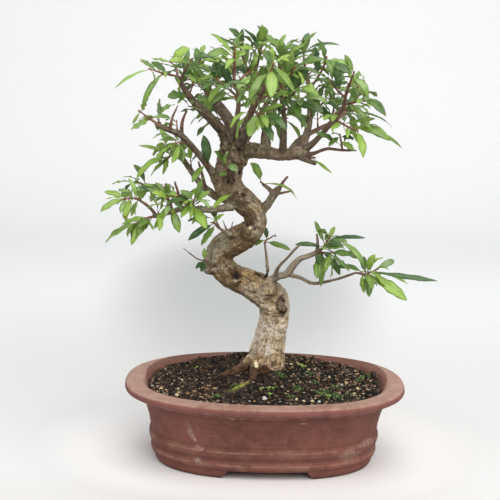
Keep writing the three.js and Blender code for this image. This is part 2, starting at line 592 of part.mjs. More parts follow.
function makePot() {
  const half = POT_LENGTH / 2;
  const inner = half - RIM_WIDTH;
  const foot = half - 23;
  const profile = [
    [0, FOOT_HEIGHT],
    [foot - 8, FOOT_HEIGHT],
    [foot - 7, 0],
    [foot, 0],
    [foot + 1.6, 5.4],
    [foot + 3.4, 8.2],
    [foot + 3.6, 11.5],
    [foot + 2.9, 13.9],
    [foot + 4.5, 16.8],
    [foot + 5, 20.5],
    [foot + 3.9, 23.8],
    [foot + 5.4, 33],
    [foot + 8.4, 43],
    [half - 10, 49.5],
    [half - 3.5, 51.5],
    [half, 54],
    [half - 0.4, 57],
    [half - 2.2, POT_HEIGHT],
    [inner + 1.5, POT_HEIGHT],
    [inner - 0.5, 56],
    [inner - 7, 46],
    [inner - 10, 36],
    [inner - 11, 15],
    [inner - 14, FLOOR_TOP],
    [0, FLOOR_TOP],
  ];
  let pot = toSolid(ovalLathe(profile, POT_SIDES));
  const notch = new THREE.Shape();
  notch.moveTo(-NOTCH_FOOT_WIDTH / 2, -1);
  notch.lineTo(NOTCH_FOOT_WIDTH / 2, -1);
  notch.lineTo(NOTCH_TOP_WIDTH / 2, FOOT_HEIGHT);
  notch.lineTo(-NOTCH_TOP_WIDTH / 2, FOOT_HEIGHT);
  const cutter = new THREE.ExtrudeGeometry(notch, { depth: POT_WIDTH, bevelEnabled: false });
  cutter.rotateX(Math.PI / 2);
  cutter.translate(NOTCH_SHIFT, POT_WIDTH / 2, 0);
  pot = pot.subtract(toSolid(cutter));
  for (const side of [-1, 1]) {
    const drain = new THREE.CylinderGeometry(DRAIN_DIAMETER / 2, DRAIN_DIAMETER / 2, POT_HEIGHT, 16);
    drain.rotateX(Math.PI / 2);
    drain.translate(side * DRAIN_SPACING / 2, 0, 0);
    pot = pot.subtract(toSolid(drain));
  }
  return pot;
}

function makeDrainMesh(side) {
  // A square of plastic net over a drain hole.
  const z = FLOOR_TOP + GAP + MESH_THICKNESS / 2;
  const x = side * DRAIN_SPACING / 2;
  let net = post(MESH_SIZE, MESH_SIZE, MESH_THICKNESS, x, 0, z);
  const cell = (MESH_SIZE - MESH_BAR) / MESH_CELLS;
  for (let i = 0; i < MESH_CELLS; i += 1) {
    for (let j = 0; j < MESH_CELLS; j += 1) {
      const offset = (k) => (k - (MESH_CELLS - 1) / 2) * cell;
      const hole = cell - MESH_BAR;
      net = net.subtract(post(hole, hole, 2 * MESH_THICKNESS, x + offset(i), offset(j), z));
    }
  }
  return net;
}

function soilHeight(x, y) {
  // Soil rises from the rim of the pot to a low mound round the trunk, with small lumps.
  const [, base] = TRUNK;
  const away = Math.hypot(x - base[0], 0.8 * (y - base[1]));
  const mound = SOIL_MOUND * Math.exp(-((away / 42) ** 2));
  const lumps = 0.7 * Math.sin(0.21 * x + 0.9) * Math.cos(0.24 * y) + 0.5 * Math.sin(0.37 * y - 0.31 * x);
  return SOIL_EDGE + mound + lumps;
}

function makeSoil(wood) {
  const half = POT_LENGTH / 2 - RIM_WIDTH;
  const low = FLOOR_TOP + GAP;
  const profile = [
    [0, low],
    [half - 14.5, low],
    [half - 11.6, 15],
    [half - 10.6, 36],
    [half - 7.6, 46],
    [half - 5, SOIL_EDGE],
    [half - 18, SOIL_EDGE],
    [half - 32, SOIL_EDGE],
    [half - 48, SOIL_EDGE],
    [half - 65, SOIL_EDGE],
    [0, SOIL_EDGE],
  ];
  const lathe = ovalLathe(profile, SOIL_SIDES);
  const top = bend(lathe, (x, y, z) => {
    const edge = Math.abs(x) > half - 6 || z < SOIL_EDGE - 0.01;
    return [x, y, edge ? z : soilHeight(x, y)];
  });
  let soil = toSolid(top).subtract(wood);
  for (const side of [-1, 1]) {
    const room = MESH_SIZE + 2 * GAP;
    const z = FLOOR_TOP + GAP + MESH_THICKNESS / 2;
    soil = soil.subtract(post(room, room, MESH_THICKNESS + 2 * GAP, side * DRAIN_SPACING / 2, 0, z));
  }
  return biggest(soil);
}

// Wood

function makeWood(grow) {
  // Trunk, limbs, roots and knots in one body. A grown copy cuts what meets the wood.
  let wood = toSolid(tube(TRUNK, 11, { grow, lobes: 0.045 }));
  for (const rings of Object.values(LIMBS)) {
    const sides = rings[0][3] > 3 ? 6 : rings[0][3] > 2 ? 5 : 4;
    wood = wood.add(toSolid(tube(rings, sides, { grow })));
  }
  for (const rings of Object.values(ROOTS)) {
    wood = wood.add(toSolid(tube(rings, 6, { grow })));
  }
  for (const rings of Object.values(KNOTS)) {
    wood = wood.add(toSolid(tube(rings, 7, { grow })));
  }
  return biggest(wood);
}

// Leaves

function midrib(blade, t) {
  // A leaf's midrib arches from its stalk to its tip.
  const { base, tip, crest } = blade;
  return add(add(scale(base, (1 - t) ** 2), scale(crest, 2 * t * (1 - t))), scale(tip, t * t));
}

function bladeFrame(blade, t) {
  // Side and upper face of the leaf at a point of its midrib.
  const { base, tip, crest, face } = blade;
  const along = unit(add(scale(sub(crest, base), 1 - t), scale(sub(tip, crest), t)));
  const up = square(along, face);
  return { up, side: cross(along, up) };
}

function halfWidth(blade, t) {
  // Half the width of a narrow leaf, widest past its middle, from a fine stalk to a blunt point.
  const form = Math.sin(Math.PI * Math.min(1, 0.05 + 0.95 * t) ** 1.25) ** 0.75;
  return blade.width / 2 * form;
}

function makeBlade(base, out, tip, width, arch, face) {
  // A leaf that leaves the twig the way its face looks, then arches over to its tip.
  const chord = sub(tip, base);
  const up = square(unit(chord), face);
  const push = 0.25 * (1 - dot(out, unit(chord)));
  const rise = scale(add(scale(up, 2 * arch), scale(out, push)), size(chord));
  return { base, tip, crest: add(mix(base, tip, 0.5), rise), width, face: up };
}

function bladeSamples(blade) {
  // Points spread over a leaf, for keeping leaves clear of each other.
  const samples = [];
  for (let i = 1; i <= 9; i += 1) {
    const t = i / 9;
    const middle = midrib(blade, t);
    const { side } = bladeFrame(blade, t);
    const out = 0.9 * halfWidth(blade, t);
    samples.push({ at: middle, t });
    if (i < 9) samples.push({ at: add(middle, scale(side, out)), t }, { at: add(middle, scale(side, -out)), t });
  }
  return samples;
}

// Where leaves and twigs already are: all twigs first, then the leaves that the plant shows, then the rest.
const taken = [];

function claim(owner, samples) {
  for (const { at } of samples) taken.push({ owner, at });
}

const woodRings = [TRUNK, ...Object.values(LIMBS)].flatMap((rings) => smoothPath(rings, 3));

function isClear(owner, samples) {
  for (const { at, t } of samples) {
    if (t > 0.25) {
      for (const ring of woodRings) {
        if (size(sub(at, ring.slice(0, 3))) < ring[3] + WOOD_CLEARANCE) return false;
      }
    }
    for (const other of taken) {
      const own = other.owner === owner;
      if (own && t < 0.3) continue;
      if (size(sub(at, other.at)) < (own ? OWN_CLEARANCE : LEAF_CLEARANCE)) return false;
    }
  }
  return true;
}

// Twigs: a square tube with a station for each leaf or pair, whose faces open into the leaves

function twigFrame(points) {
  const along = unit(sub(points[points.length - 1], points[0]));
  const level = square(along, Math.abs(along[2]) > 0.9 ? [1, 0, 0] : [0, 0, 1]);
  return { along, level, across: cross(along, level) };
}

function length(points) {
  return size(sub(points[points.length - 1], points[0]));
}

function twigPoint(points, s) {
  const place = s * (points.length - 1);
  const i = Math.min(Math.floor(place), points.length - 2);
  return mix(points[i], points[i + 1], place - i);
}

function twigEnd(points, place) {
  // Place of the twig's end, past its last station.
  return Math.max(1, place + STATION / length(points));
}

function stationPlace(index, count) {
  // Place along the twig of a station's middle. The first stands a third of the way up.
  return FIRST_STATION + STATION_RUN * index / Math.max(count - 1, 1);
}

function portWay(frame, port) {
  // The way that a port looks: the four faces of the twig, and its end.
  if (port === END) return frame.along;
  const angle = port * Math.PI / 2;
  return add(scale(frame.level, Math.cos(angle)), scale(frame.across, Math.sin(angle)));
}

function portBase(points, frame, place, port) {
  // Middle of a port, where a leaf's stalk leaves the twig.
  if (port === END) return twigPoint(points, twigEnd(points, place));
  return add(twigPoint(points, place), scale(portWay(frame, port), TWIG_RADIUS * Math.SQRT1_2));
}

function sidePort(frame, way) {
  return [0, 1, 2, 3].reduce((best, port) => (
    dot(portWay(frame, port), way) > dot(portWay(frame, best), way) ? port : best));
}

function bestPort(frame, way) {
  return dot(frame.along, way) > END_WAY ? END : sidePort(frame, way);
}

function isClipped(samples) {
  // Whether some of a leaf would stand out over the clipped outline of the crown.
  return samples.some(({ at: [x, y, z] }) => {
    const scale = EYE_DISTANCE / (EYE_DISTANCE + y);
    const seen = [x * scale, EYE_HEIGHT + (z - EYE_HEIGHT) * scale];
    const next = CROWN_OUTLINE.findIndex(([edge]) => edge > seen[0]);
    if (next < 1) return false;
    const [a, b] = [CROWN_OUTLINE[next - 1], CROWN_OUTLINE[next]];
    return seen[1] > a[1] + (b[1] - a[1]) * (seen[0] - a[0]) / (b[0] - a[0]);
  });
}

function drawBlade(random, spray, base, out, along) {
  // One drawn leaf: it leaves the twig at a slant, arches and hangs a little.
  const lean = 0.9 + 0.7 * random();
  const length = spray.length * (0.8 + 0.4 * random());
  const swing = scale(cross(along, out), 0.7 * (random() - 0.5));
  const way = unit(add(add(along, scale(add(out, swing), lean)), [0, 0, -0.35 * random()]));
  const tip = add(base, scale(way, length));
  const arch = 0.06 + 0.12 * random();
  const width = length * (0.23 + 0.08 * random());
  const face = unit(add(scale(along, 0.4), add([0, 0, 0.45], scale(VIEW_LEAN, 0.35 * random()))));
  return makeBlade(base, out, tip, width, arch, face);
}

function planSpray(spray) {
  // Stations along the twig: one for each drawn pair, then those of the leaves that the plant shows.
  const frame = twigFrame(spray.twig);
  const stations = [];
  for (let pair = 0; pair < spray.pairs; pair += 1) {
    stations.push([{ port: pair % 2 }, { port: pair % 2 + 2 }]);
  }
  let end = null;
  for (const [tip, width, arch] of spray.blades) {
    const port = bestPort(frame, unit(sub(tip, spray.twig[1])));
    const leaf = { port, tip, width, arch };
    const station = stations[stations.length - 1];
    if (port === END && !end) {
      end = leaf;
    } else if (station && station.length === 1 && Math.abs(station[0].port - port) === 2) {
      station.push(leaf);
    } else {
      stations.push([port === END ? { ...leaf, port: sidePort(frame, unit(sub(tip, spray.twig[1]))) } : leaf]);
    }
  }
  if (end) stations.push([end]);
  return { spray, frame, stations, blades: [] };
}

function growSprays() {
  const plants = SPRAYS.map(planSpray);
  plants.forEach(({ spray }, owner) => {
    claim(owner, [0, 0.25, 0.5, 0.75, 1].map((s) => ({ at: twigPoint(spray.twig, s) })));
  });
  const visit = (shown, grow) => plants.forEach((plant, owner) => plant.stations.forEach((station, index) => {
    const place = stationPlace(index, plant.stations.length);
    for (const leaf of station.filter(({ tip }) => Boolean(tip) === shown)) {
      const out = portWay(plant.frame, leaf.port);
      const base = portBase(plant.spray.twig, plant.frame, place, leaf.port);
      const blade = grow(plant, owner, index, leaf, base, out);
      if (blade) {
        plant.blades.push({ ...blade, index, port: leaf.port });
        claim(owner, bladeSamples(blade));
      }
    }
  }));
  visit(true, (plant, owner, index, leaf, base, out) => (
    makeBlade(base, out, leaf.tip, leaf.width, leaf.arch, VIEW_LEAN)));
  visit(false, ({ spray, frame }, owner, index, leaf, base, out) => {
    const random = seeded(1000 + 97 * owner + 13 * index + leaf.port);
    for (let attempt = 0; attempt < TRIES; attempt += 1) {
      const blade = drawBlade(random, spray, base, out, frame.along);
      const samples = bladeSamples(blade);
      if (!isClipped(samples) && isClear(owner, samples)) return blade;
    }
    return null;
  });
  return plants;
}

function bladeSkin(blade, corners) {
  // An open four-sided cone, drawn flat, whose foot is the four corners of its port.
  const rows = [0, 0.3, 0.68, 1];
  const last = rows.length - 1;
  const section = [[-1, 1], [1, 1], [1, -1], [-1, -1]];
  const root = bladeFrame(blade, rows[1]);
  const middle = scale(corners.reduce(add), 1 / 4);
  const fit = (turn) => section.reduce((sum, [s, u], j) => (
    sum + dot(add(scale(root.side, s), scale(root.up, u)), sub(corners[(j + turn) % 4], middle))), 0);
  const turn = [0, 1, 2, 3].reduce((best, k) => (fit(k) > fit(best) ? k : best));
  const cone = new THREE.ConeGeometry(1, 1, 4, last, true);
  bend(cone, (x, y, z) => {
    const row = Math.round((y + 0.5) * last);
    if (row === last) return blade.tip;
    const j = Math.round(Math.atan2(x, z) / (Math.PI / 2) + 4) % 4;
    if (row === 0) return corners[(j + turn) % 4];
    const frame = bladeFrame(blade, rows[row]);
    const out = scale(frame.side, section[j][0] * halfWidth(blade, rows[row]));
    return add(midrib(blade, rows[row]), add(out, scale(frame.up, section[j][1] * BLADE_THICKNESS / 2)));
  });
  // The under face is split into triangles the same way as the upper face.
  const index = Array.from(cone.index.array);
  const column = 6 * last - 3;
  for (let i = 2 * column + 3; i < 3 * column; i += 6) {
    const [a, b, d, , c] = index.slice(i, i + 6);
    index.splice(i, 6, a, b, c, a, c, d);
  }
  cone.setIndex(index);
  return cone;
}

function spraySolid({ spray, frame, stations, blades }) {
  // The twig's rings: its root, two for each station, and its tip.
  const half = STATION / 2 / length(spray.twig);
  const middles = stations.map((_, index) => stationPlace(index, stations.length));
  const places = [0, ...middles.flatMap((place) => [place - half, place + half])];
  places.push(twigEnd(spray.twig, middles[middles.length - 1]));
  const rows = places.length - 1;
  const corner = (row, k) => {
    const angle = (k + 0.5) * Math.PI / 2;
    const reach = row === rows ? TWIG_TIP : TWIG_RADIUS;
    const out = add(scale(frame.level, Math.cos(angle)), scale(frame.across, Math.sin(angle)));
    return add(twigPoint(spray.twig, places[row]), scale(out, reach));
  };
  const cylinder = new THREE.CylinderGeometry(1, 1, 1, 4, rows);
  const twig = bend(cylinder, (x, y, z) => {
    const row = Math.round((y + 0.5) * rows);
    if (Math.hypot(x, z) < 0.5) return twigPoint(spray.twig, places[row]);
    return corner(row, Math.round(Math.atan2(x, z) / (Math.PI / 2) + 4) % 4);
  });
  const open = new Set(blades.map(({ index, port }) => (port === END ? END : `${port} ${2 * index + 1}`)));
  const closed = Array.from(twig.index.array).filter((_, i) => {
    // The cylinder lists its wall from quad to quad, then its top and its foot.
    const quad = Math.floor(i / 6);
    if (quad >= 4 * rows) return i >= 24 * rows + 12 || !open.has(END);
    const port = (Math.floor(quad / rows) + 1) % 4;
    return !open.has(`${port} ${rows - 1 - quad % rows}`);
  });
  twig.setIndex(closed);
  const skins = blades.map((blade) => {
    if (blade.port === END) return bladeSkin(blade, [0, 1, 2, 3].map((k) => corner(rows, k)));
    const row = 2 * blade.index + 1;
    const k = (blade.port + 3) % 4;
    return bladeSkin(blade, [corner(row + 1, k), corner(row, k), corner(row, k + 1), corner(row + 1, k + 1)]);
  });
  return toSolid(mergeGeometries([twig, ...skins]));
}

// Assembly

const COLOURS = {
  pot: "#7d4f47",
  soil: "#3a2f28",
  net: "#2b3330",
  wood: "#b49c7d",
  leafOld: new THREE.Color("#2f6b2a"),
  leafYoung: new THREE.Color("#7fb23a"),
};

const plant = new THREE.Group();
plant.position.set(-CENTRE.x, -CENTRE.y, 0);

const clearWood = makeWood(GAP);
plant.add(toMesh("pot", makePot(), COLOURS.pot, 0.8));
plant.add(toMesh("soil", makeSoil(clearWood), COLOURS.soil, 0.95));
plant.add(toMesh("drain_net_left", makeDrainMesh(-1), COLOURS.net, 0.6));
plant.add(toMesh("drain_net_right", makeDrainMesh(1), COLOURS.net, 0.6));
plant.add(toMesh("trunk", makeWood(0), COLOURS.wood, 0.85));

for (const grown of growSprays()) {
  const solid = biggest(spraySolid(grown).subtract(clearWood));
  const color = COLOURS.leafOld.clone().lerp(COLOURS.leafYoung, grown.spray.young);
  plant.add(toMesh(`spray_${grown.spray.name}`, solid, color, 0.45));
}

const bonsai = new THREE.Group();
bonsai.name = "pomegranate_bonsai";
bonsai.add(plant);

export default bonsai;
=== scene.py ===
# %% [markdown]
# # A pomegranate bonsai in an oval stoneware pot
#
# A small tree, about 31 cm tall, climbs from its soil in two strong bends and carries a round crown.
# A low branch reaches to each side. The pot is an unglazed oval with two raised bands round its foot.
#
# The packed model already holds every piece as a plain solid, in metres, with +Z up. This lesson loads
# it as a fixed frame and then grows the finished pieces round it: wood with bark, leaves with veins,
# fired clay, crumbly soil. The plain solids that a finished piece stands for are hidden.

import math
import random

import bmesh
import bpy
import numpy as np
from mathutils import Matrix, Vector, kdtree, noise


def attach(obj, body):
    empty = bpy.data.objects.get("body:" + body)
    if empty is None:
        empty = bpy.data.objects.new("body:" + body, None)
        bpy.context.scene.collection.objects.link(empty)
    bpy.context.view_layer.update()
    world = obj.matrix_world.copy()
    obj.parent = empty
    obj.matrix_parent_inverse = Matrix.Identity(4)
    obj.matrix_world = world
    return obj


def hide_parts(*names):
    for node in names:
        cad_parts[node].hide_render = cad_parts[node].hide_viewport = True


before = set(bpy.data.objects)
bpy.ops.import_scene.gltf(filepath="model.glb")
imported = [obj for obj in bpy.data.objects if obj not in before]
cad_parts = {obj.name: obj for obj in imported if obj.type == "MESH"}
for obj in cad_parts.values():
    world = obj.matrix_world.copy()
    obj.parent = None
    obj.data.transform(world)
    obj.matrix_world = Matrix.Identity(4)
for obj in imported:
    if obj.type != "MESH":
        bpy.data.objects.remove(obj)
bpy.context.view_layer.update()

# %% [markdown]
# ## Sizes
#
# Lengths below are in millimetres and are measured from the middle of the pot, because that is how a
# potter and a grower would note them down. `CENTRE` is the middle of the whole plant seen from above.
# The model stands with that point over the origin, so each point moves by it on its way to metres.

# %% Sizes of the pot and the plant
CENTRE = Vector((1.4, 13.8, 0))
MM = 0.001

POT_LENGTH = 202
POT_WIDTH = 152
POT_HEIGHT = 58
POT_OVAL = 2.35
RIM_WIDTH = 14
FOOT_HEIGHT = 6.5
FLOOR_TOP = 12
NOTCH_TOP_WIDTH = 54
NOTCH_FOOT_WIDTH = 66
NOTCH_SHIFT = 2.5
DRAIN_SPACING = 62
DRAIN_DIAMETER = 15
SOIL_EDGE = 51
SOIL_MOUND = 7


def to_frame(point):
    """A point in millimetres from the middle of the pot, as metres in the frame."""
    return (Vector(point) - CENTRE) * MM


print("middle of the pot in the frame:", tuple(round(v, 4) for v in to_frame((0, 0, 0))))

# %% [markdown]
# ## Node trees written as sums
#
# A material is a small program. Written node by node it takes pages, so two helpers keep it short.
# `Value` wraps a socket and lets `+`, `-`, `*` and `/` add the Math or Vector Math node that does the
# sum. Its `rise` turns a value into a mask, and its `blend` mixes two colours by that mask. `Finish`
# holds the material, adds any other node through one method, `node`, and lays coats of colour.

# %% Sockets that can be added and multiplied
class Value:
    """A socket that carries a number or a vector, and takes part in sums."""

    def __init__(self, finish, socket):
        self.finish = finish
        self.socket = socket

    def sum(self, operation, first, second=None):
        inputs = {0: first} if second is None else {0: first, 1: second}
        vector = any(isinstance(v, tuple) or isinstance(v, Value) and v.socket.type == "VECTOR"
                     for v in inputs.values())
        return self.finish.node("VectorMath" if vector else "Math", {"operation": operation}, inputs)

    def __add__(self, other):
        return self.sum("ADD", self, other)

    def __sub__(self, other):
        return self.sum("SUBTRACT", self, other)

    def __rsub__(self, other):
        return self.sum("SUBTRACT", other, self)

    def __mul__(self, other):
        return self.sum("MULTIPLY", self, other)

    def __truediv__(self, other):
        return self.sum("DIVIDE", self, other)

    def __abs__(self):
        return self.sum("ABSOLUTE", self)

    __radd__ = __add__
    __rmul__ = __mul__

    def rise(self, low, high):
        """A mask that climbs smoothly from 0 to 1 while this value goes from low to high."""
        return self.finish.node("MapRange", {"interpolation_type": "SMOOTHSTEP"}, {0: self, 1: low, 2: high})

    def blend(self, first, second):
        """A colour between two colours, by this mask."""
        return self.finish.coats(first, (self, second))


print("sums that a socket takes part in:", [name.strip("_") for name in vars(Value) if "__r" in name])


# %% Colours as on a paint chart
def tone(text):
    """A colour written as on a paint chart, in linear light."""
    parts = [int(text[i:i + 2], 16) / 255 for i in (0, 2, 4)]
    return tuple(v / 12.92 if v <= 0.04045 else ((v + 0.055) / 1.055) ** 2.4 for v in parts) + (1.0,)


print("a warm grey in linear light:", [round(v, 3) for v in tone("9a948c")])


# %% A material, built node by node
class Finish:
    """One material round a Principled shader. Colours may be given as on a paint chart."""

    def __init__(self, name, **settings):
        self.material = bpy.data.materials.new(name)
        self.material.use_nodes = True
        self.tree = self.material.node_tree
        self.tree.nodes.clear()
        self.shader = self.tree.nodes.new("ShaderNodeBsdfPrincipled")
        self.output = self.tree.nodes.new("ShaderNodeOutputMaterial")
        self.tree.links.new(self.shader.outputs[0], self.output.inputs["Surface"])
        for socket, value in settings.items():
            self.shader.inputs[socket.replace("_", " ")].default_value = value

    def node(self, kind, settings=None, inputs=None, output=0):
        """Adds a node: its settings first, then the values or links of its sockets."""
        node = self.tree.nodes.new("ShaderNode" + kind)
        for name, value in (settings or {}).items():
            if name == "stops":
                for place, _ in value[2:]:
                    node.color_ramp.elements.new(place)
                for element, (place, colour) in zip(node.color_ramp.elements, value):
                    element.position = place
                    element.color = tone(colour)
            else:
                setattr(node, name, value)
        for name, value in (inputs or {}).items():
            if isinstance(value, Value):
                self.tree.links.new(value.socket, node.inputs[name])
            else:
                node.inputs[name].default_value = tone(value) if isinstance(value, str) else value
        return Value(self, node.outputs[output])

    def noise(self, where, size, detail=3, rough=0.55, bend=0.0):
        """Cloudy noise from 0 to 1, whose features are about `size` millimetres wide."""
        inputs = {"Scale": 1 / size, "Detail": detail, "Roughness": rough, "Distortion": bend}
        return self.node("TexNoise", None, {"Vector": where, **inputs})

    def cells(self, where, size, output="Distance"):
        """A pattern of cells, about `size` millimetres wide, that grows from 0 at each cell's middle."""
        return self.node("TexVoronoi", None, {"Vector": where, "Scale": 1 / size}, output)

    def coats(self, colour, *coats):
        """Lays coats over a colour. Each is a mask and the colour that it lets in."""
        for mask, coat in coats:
            colour = self.node("Mix", {"data_type": "RGBA"}, {0: mask, 6: colour, 7: coat}, 2)
        return colour

    def darken(self, colour, by):
        """A colour multiplied by another."""
        multiply = {"data_type": "RGBA", "blend_type": "MULTIPLY"}
        return self.node("Mix", multiply, {0: 1.0, 6: colour, 7: by}, 2)

    def place(self):
        """Where the surface is, in millimetres from the origin of the frame."""
        return self.node("TexCoord", None, None, "Object") * (1000.0, 1000.0, 1000.0)

    def facing(self):
        """Which way the surface faces."""
        return self.node("NewGeometry", None, None, "Normal")

    def axes(self, vector):
        """The X, Y and Z of a vector."""
        split = self.node("SeparateXYZ", None, {0: vector}).socket.node
        return [Value(self, split.outputs[axis]) for axis in "XYZ"]

    def value(self, name, output="Fac"):
        """A value that the mesh carries at each of its points."""
        return self.node("Attribute", {"attribute_name": name}, None, output)

    def paint(self, **links):
        """Links what changes over the surface to sockets of the shader."""
        for socket, value in links.items():
            self.tree.links.new(value.socket, self.shader.inputs[socket.replace("_", " ")])

    def bump(self, height, depth):
        """Relief from a height of 0 to 1, `depth` millimetres high."""
        relief = {"Height": height, "Distance": depth * MM, "Strength": 1.0}
        self.paint(Normal=self.node("Bump", None, relief))

    def let_through(self, share, colour):
        """Lets some light pass through the surface, as a thin leaf does."""
        thin = self.node("BsdfTranslucent", None, {"Color": colour})
        mixed = self.node("MixShader", None, {"Fac": share, 1: Value(self, self.shader.outputs[0]), 2: thin})
        self.tree.links.new(mixed.socket, self.output.inputs["Surface"])


print("ways to make a node:", [name for name in vars(Finish) if not name.startswith("_")])

# %% [markdown]
# ## Skins
#
# Every finished piece is a closed mesh. `Skin` gathers its points and faces in millimetres, with a few
# values per point that the materials read, such as how old a leaf is. It also turns the gathered
# lists into one Blender object. A few helpers read and change the points of a mesh that exists.

# %% Read and write a mesh
def read_points(mesh, field="co"):
    """The places or the normals of a mesh's points, one row each."""
    rows = np.zeros(len(mesh.vertices) * 3)
    mesh.vertices.foreach_get(field, rows)
    return rows.reshape(-1, 3)


def write_values(mesh, name, values):
    """Gives each point of a mesh a value that its finish can read."""
    mesh.attributes.new(name, "FLOAT", "POINT").data.foreach_set("value", np.array(values, np.float32))


def turn_outward(mesh):
    """Makes the faces of a closed mesh look outward."""
    bm = bmesh.new()
    bm.from_mesh(mesh)
    bmesh.ops.recalc_face_normals(bm, faces=bm.faces)
    bm.to_mesh(mesh)
    bm.free()


def show(name, mesh):
    """Puts a mesh into the scene as an object."""
    made = bpy.data.objects.new(name, mesh)
    bpy.context.scene.collection.objects.link(made)
    return made


def held(value):
    """A value held between 0 and 1."""
    return min(1.0, max(0.0, value))


print("held between 0 and 1:", [held(v) for v in (-0.5, 0.5, 1.5)])


# %% Gather a mesh and turn it into a piece
class Skin:
    """Points and faces of a piece, in millimetres from the middle of the pot."""

    def __init__(self, *names):
        self.points = []
        self.faces = []
        self.finish = []
        self.values = {name: [] for name in names}

    def add(self, points, faces, finish=0, **values):
        start = len(self.points)
        self.points += [tuple(p) for p in points]
        self.faces += [tuple(start + i for i in face) for face in faces]
        self.finish += finish if isinstance(finish, list) else [finish] * len(faces)
        for name, column in self.values.items():
            given = values.get(name, 0.0)
            column += given if isinstance(given, list) else [given] * len(points)

    def piece(self, name, finishes, smooth=True):
        mesh = bpy.data.meshes.new(name)
        mesh.from_pydata([to_frame(p) for p in self.points], [], self.faces)
        for values_name, column in self.values.items():
            write_values(mesh, values_name, column)
        for finish in finishes:
            mesh.materials.append(finish.material)
        mesh.polygons.foreach_set("material_index", np.array(self.finish, np.int32))
        mesh.polygons.foreach_set("use_smooth", np.full(len(self.faces), smooth))
        mesh.update()
        return show(name, mesh)


def seat(piece, slot, *nodes):
    """The piece rides on the plant and may stand for plain solids, which are hidden. Its slot is not used."""
    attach(piece, "root")
    if nodes:
        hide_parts(*nodes)
    return piece


def apply_modifiers(made):
    """Bakes a piece's modifiers into its own mesh."""
    bpy.context.view_layer.update()
    evaluated = made.evaluated_get(bpy.context.evaluated_depsgraph_get())
    mesh = bpy.data.meshes.new_from_object(evaluated)
    made.modifiers.clear()
    made.data = mesh


def size_of(made):
    """A line about a piece, for the lesson's reader."""
    triangles = sum(len(p.vertices) - 2 for p in made.data.polygons)
    return f"{made.name}: {len(made.data.vertices)} points, {triangles} triangles"


print("a skin starts empty:", len(Skin("old").points), "points")

# %% [markdown]
# ## The wood, as a grower would sketch it
#
# Each row below is a run of rings, `(x, y, z, radius)`, from the base of a limb to its tip. The trunk
# swings right, left and right again. Limbs leave its upper end like spokes, two low branches leave its
# bends, and surface roots flare over the soil. Knots are short swellings where limbs were cut.

# %% Rings of the trunk, limbs, roots and knots
TRUNK = (
    (-1, 27, 45, 14.9), (0, 27, 59, 13.8), (1, 26, 70, 12.6), (3, 25, 81, 11.5), (5, 24, 92, 10.9),
    (6, 23, 103, 11), (4, 22, 112, 11.7), (-6, 22, 119, 11.1), (-16, 24, 124, 10.1), (-26, 26, 128, 9.5),
    (-34, 28, 136, 9.6), (-34, 28, 146, 10), (-27, 26, 152, 10.2), (-17, 22, 158, 9.6),
    (-10, 19, 165, 8.4), (-9, 18, 172, 8.1), (-12, 18, 179, 8.7), (-20, 18, 186, 9), (-27, 19, 192, 10.1),
    (-30, 20, 200, 9.9), (-29, 20, 208, 9.5), (-27, 20, 216, 9.8), (-25, 20, 223, 10.5),
    (-24, 20, 230, 8.9), (-23, 20, 235, 5.7),
)

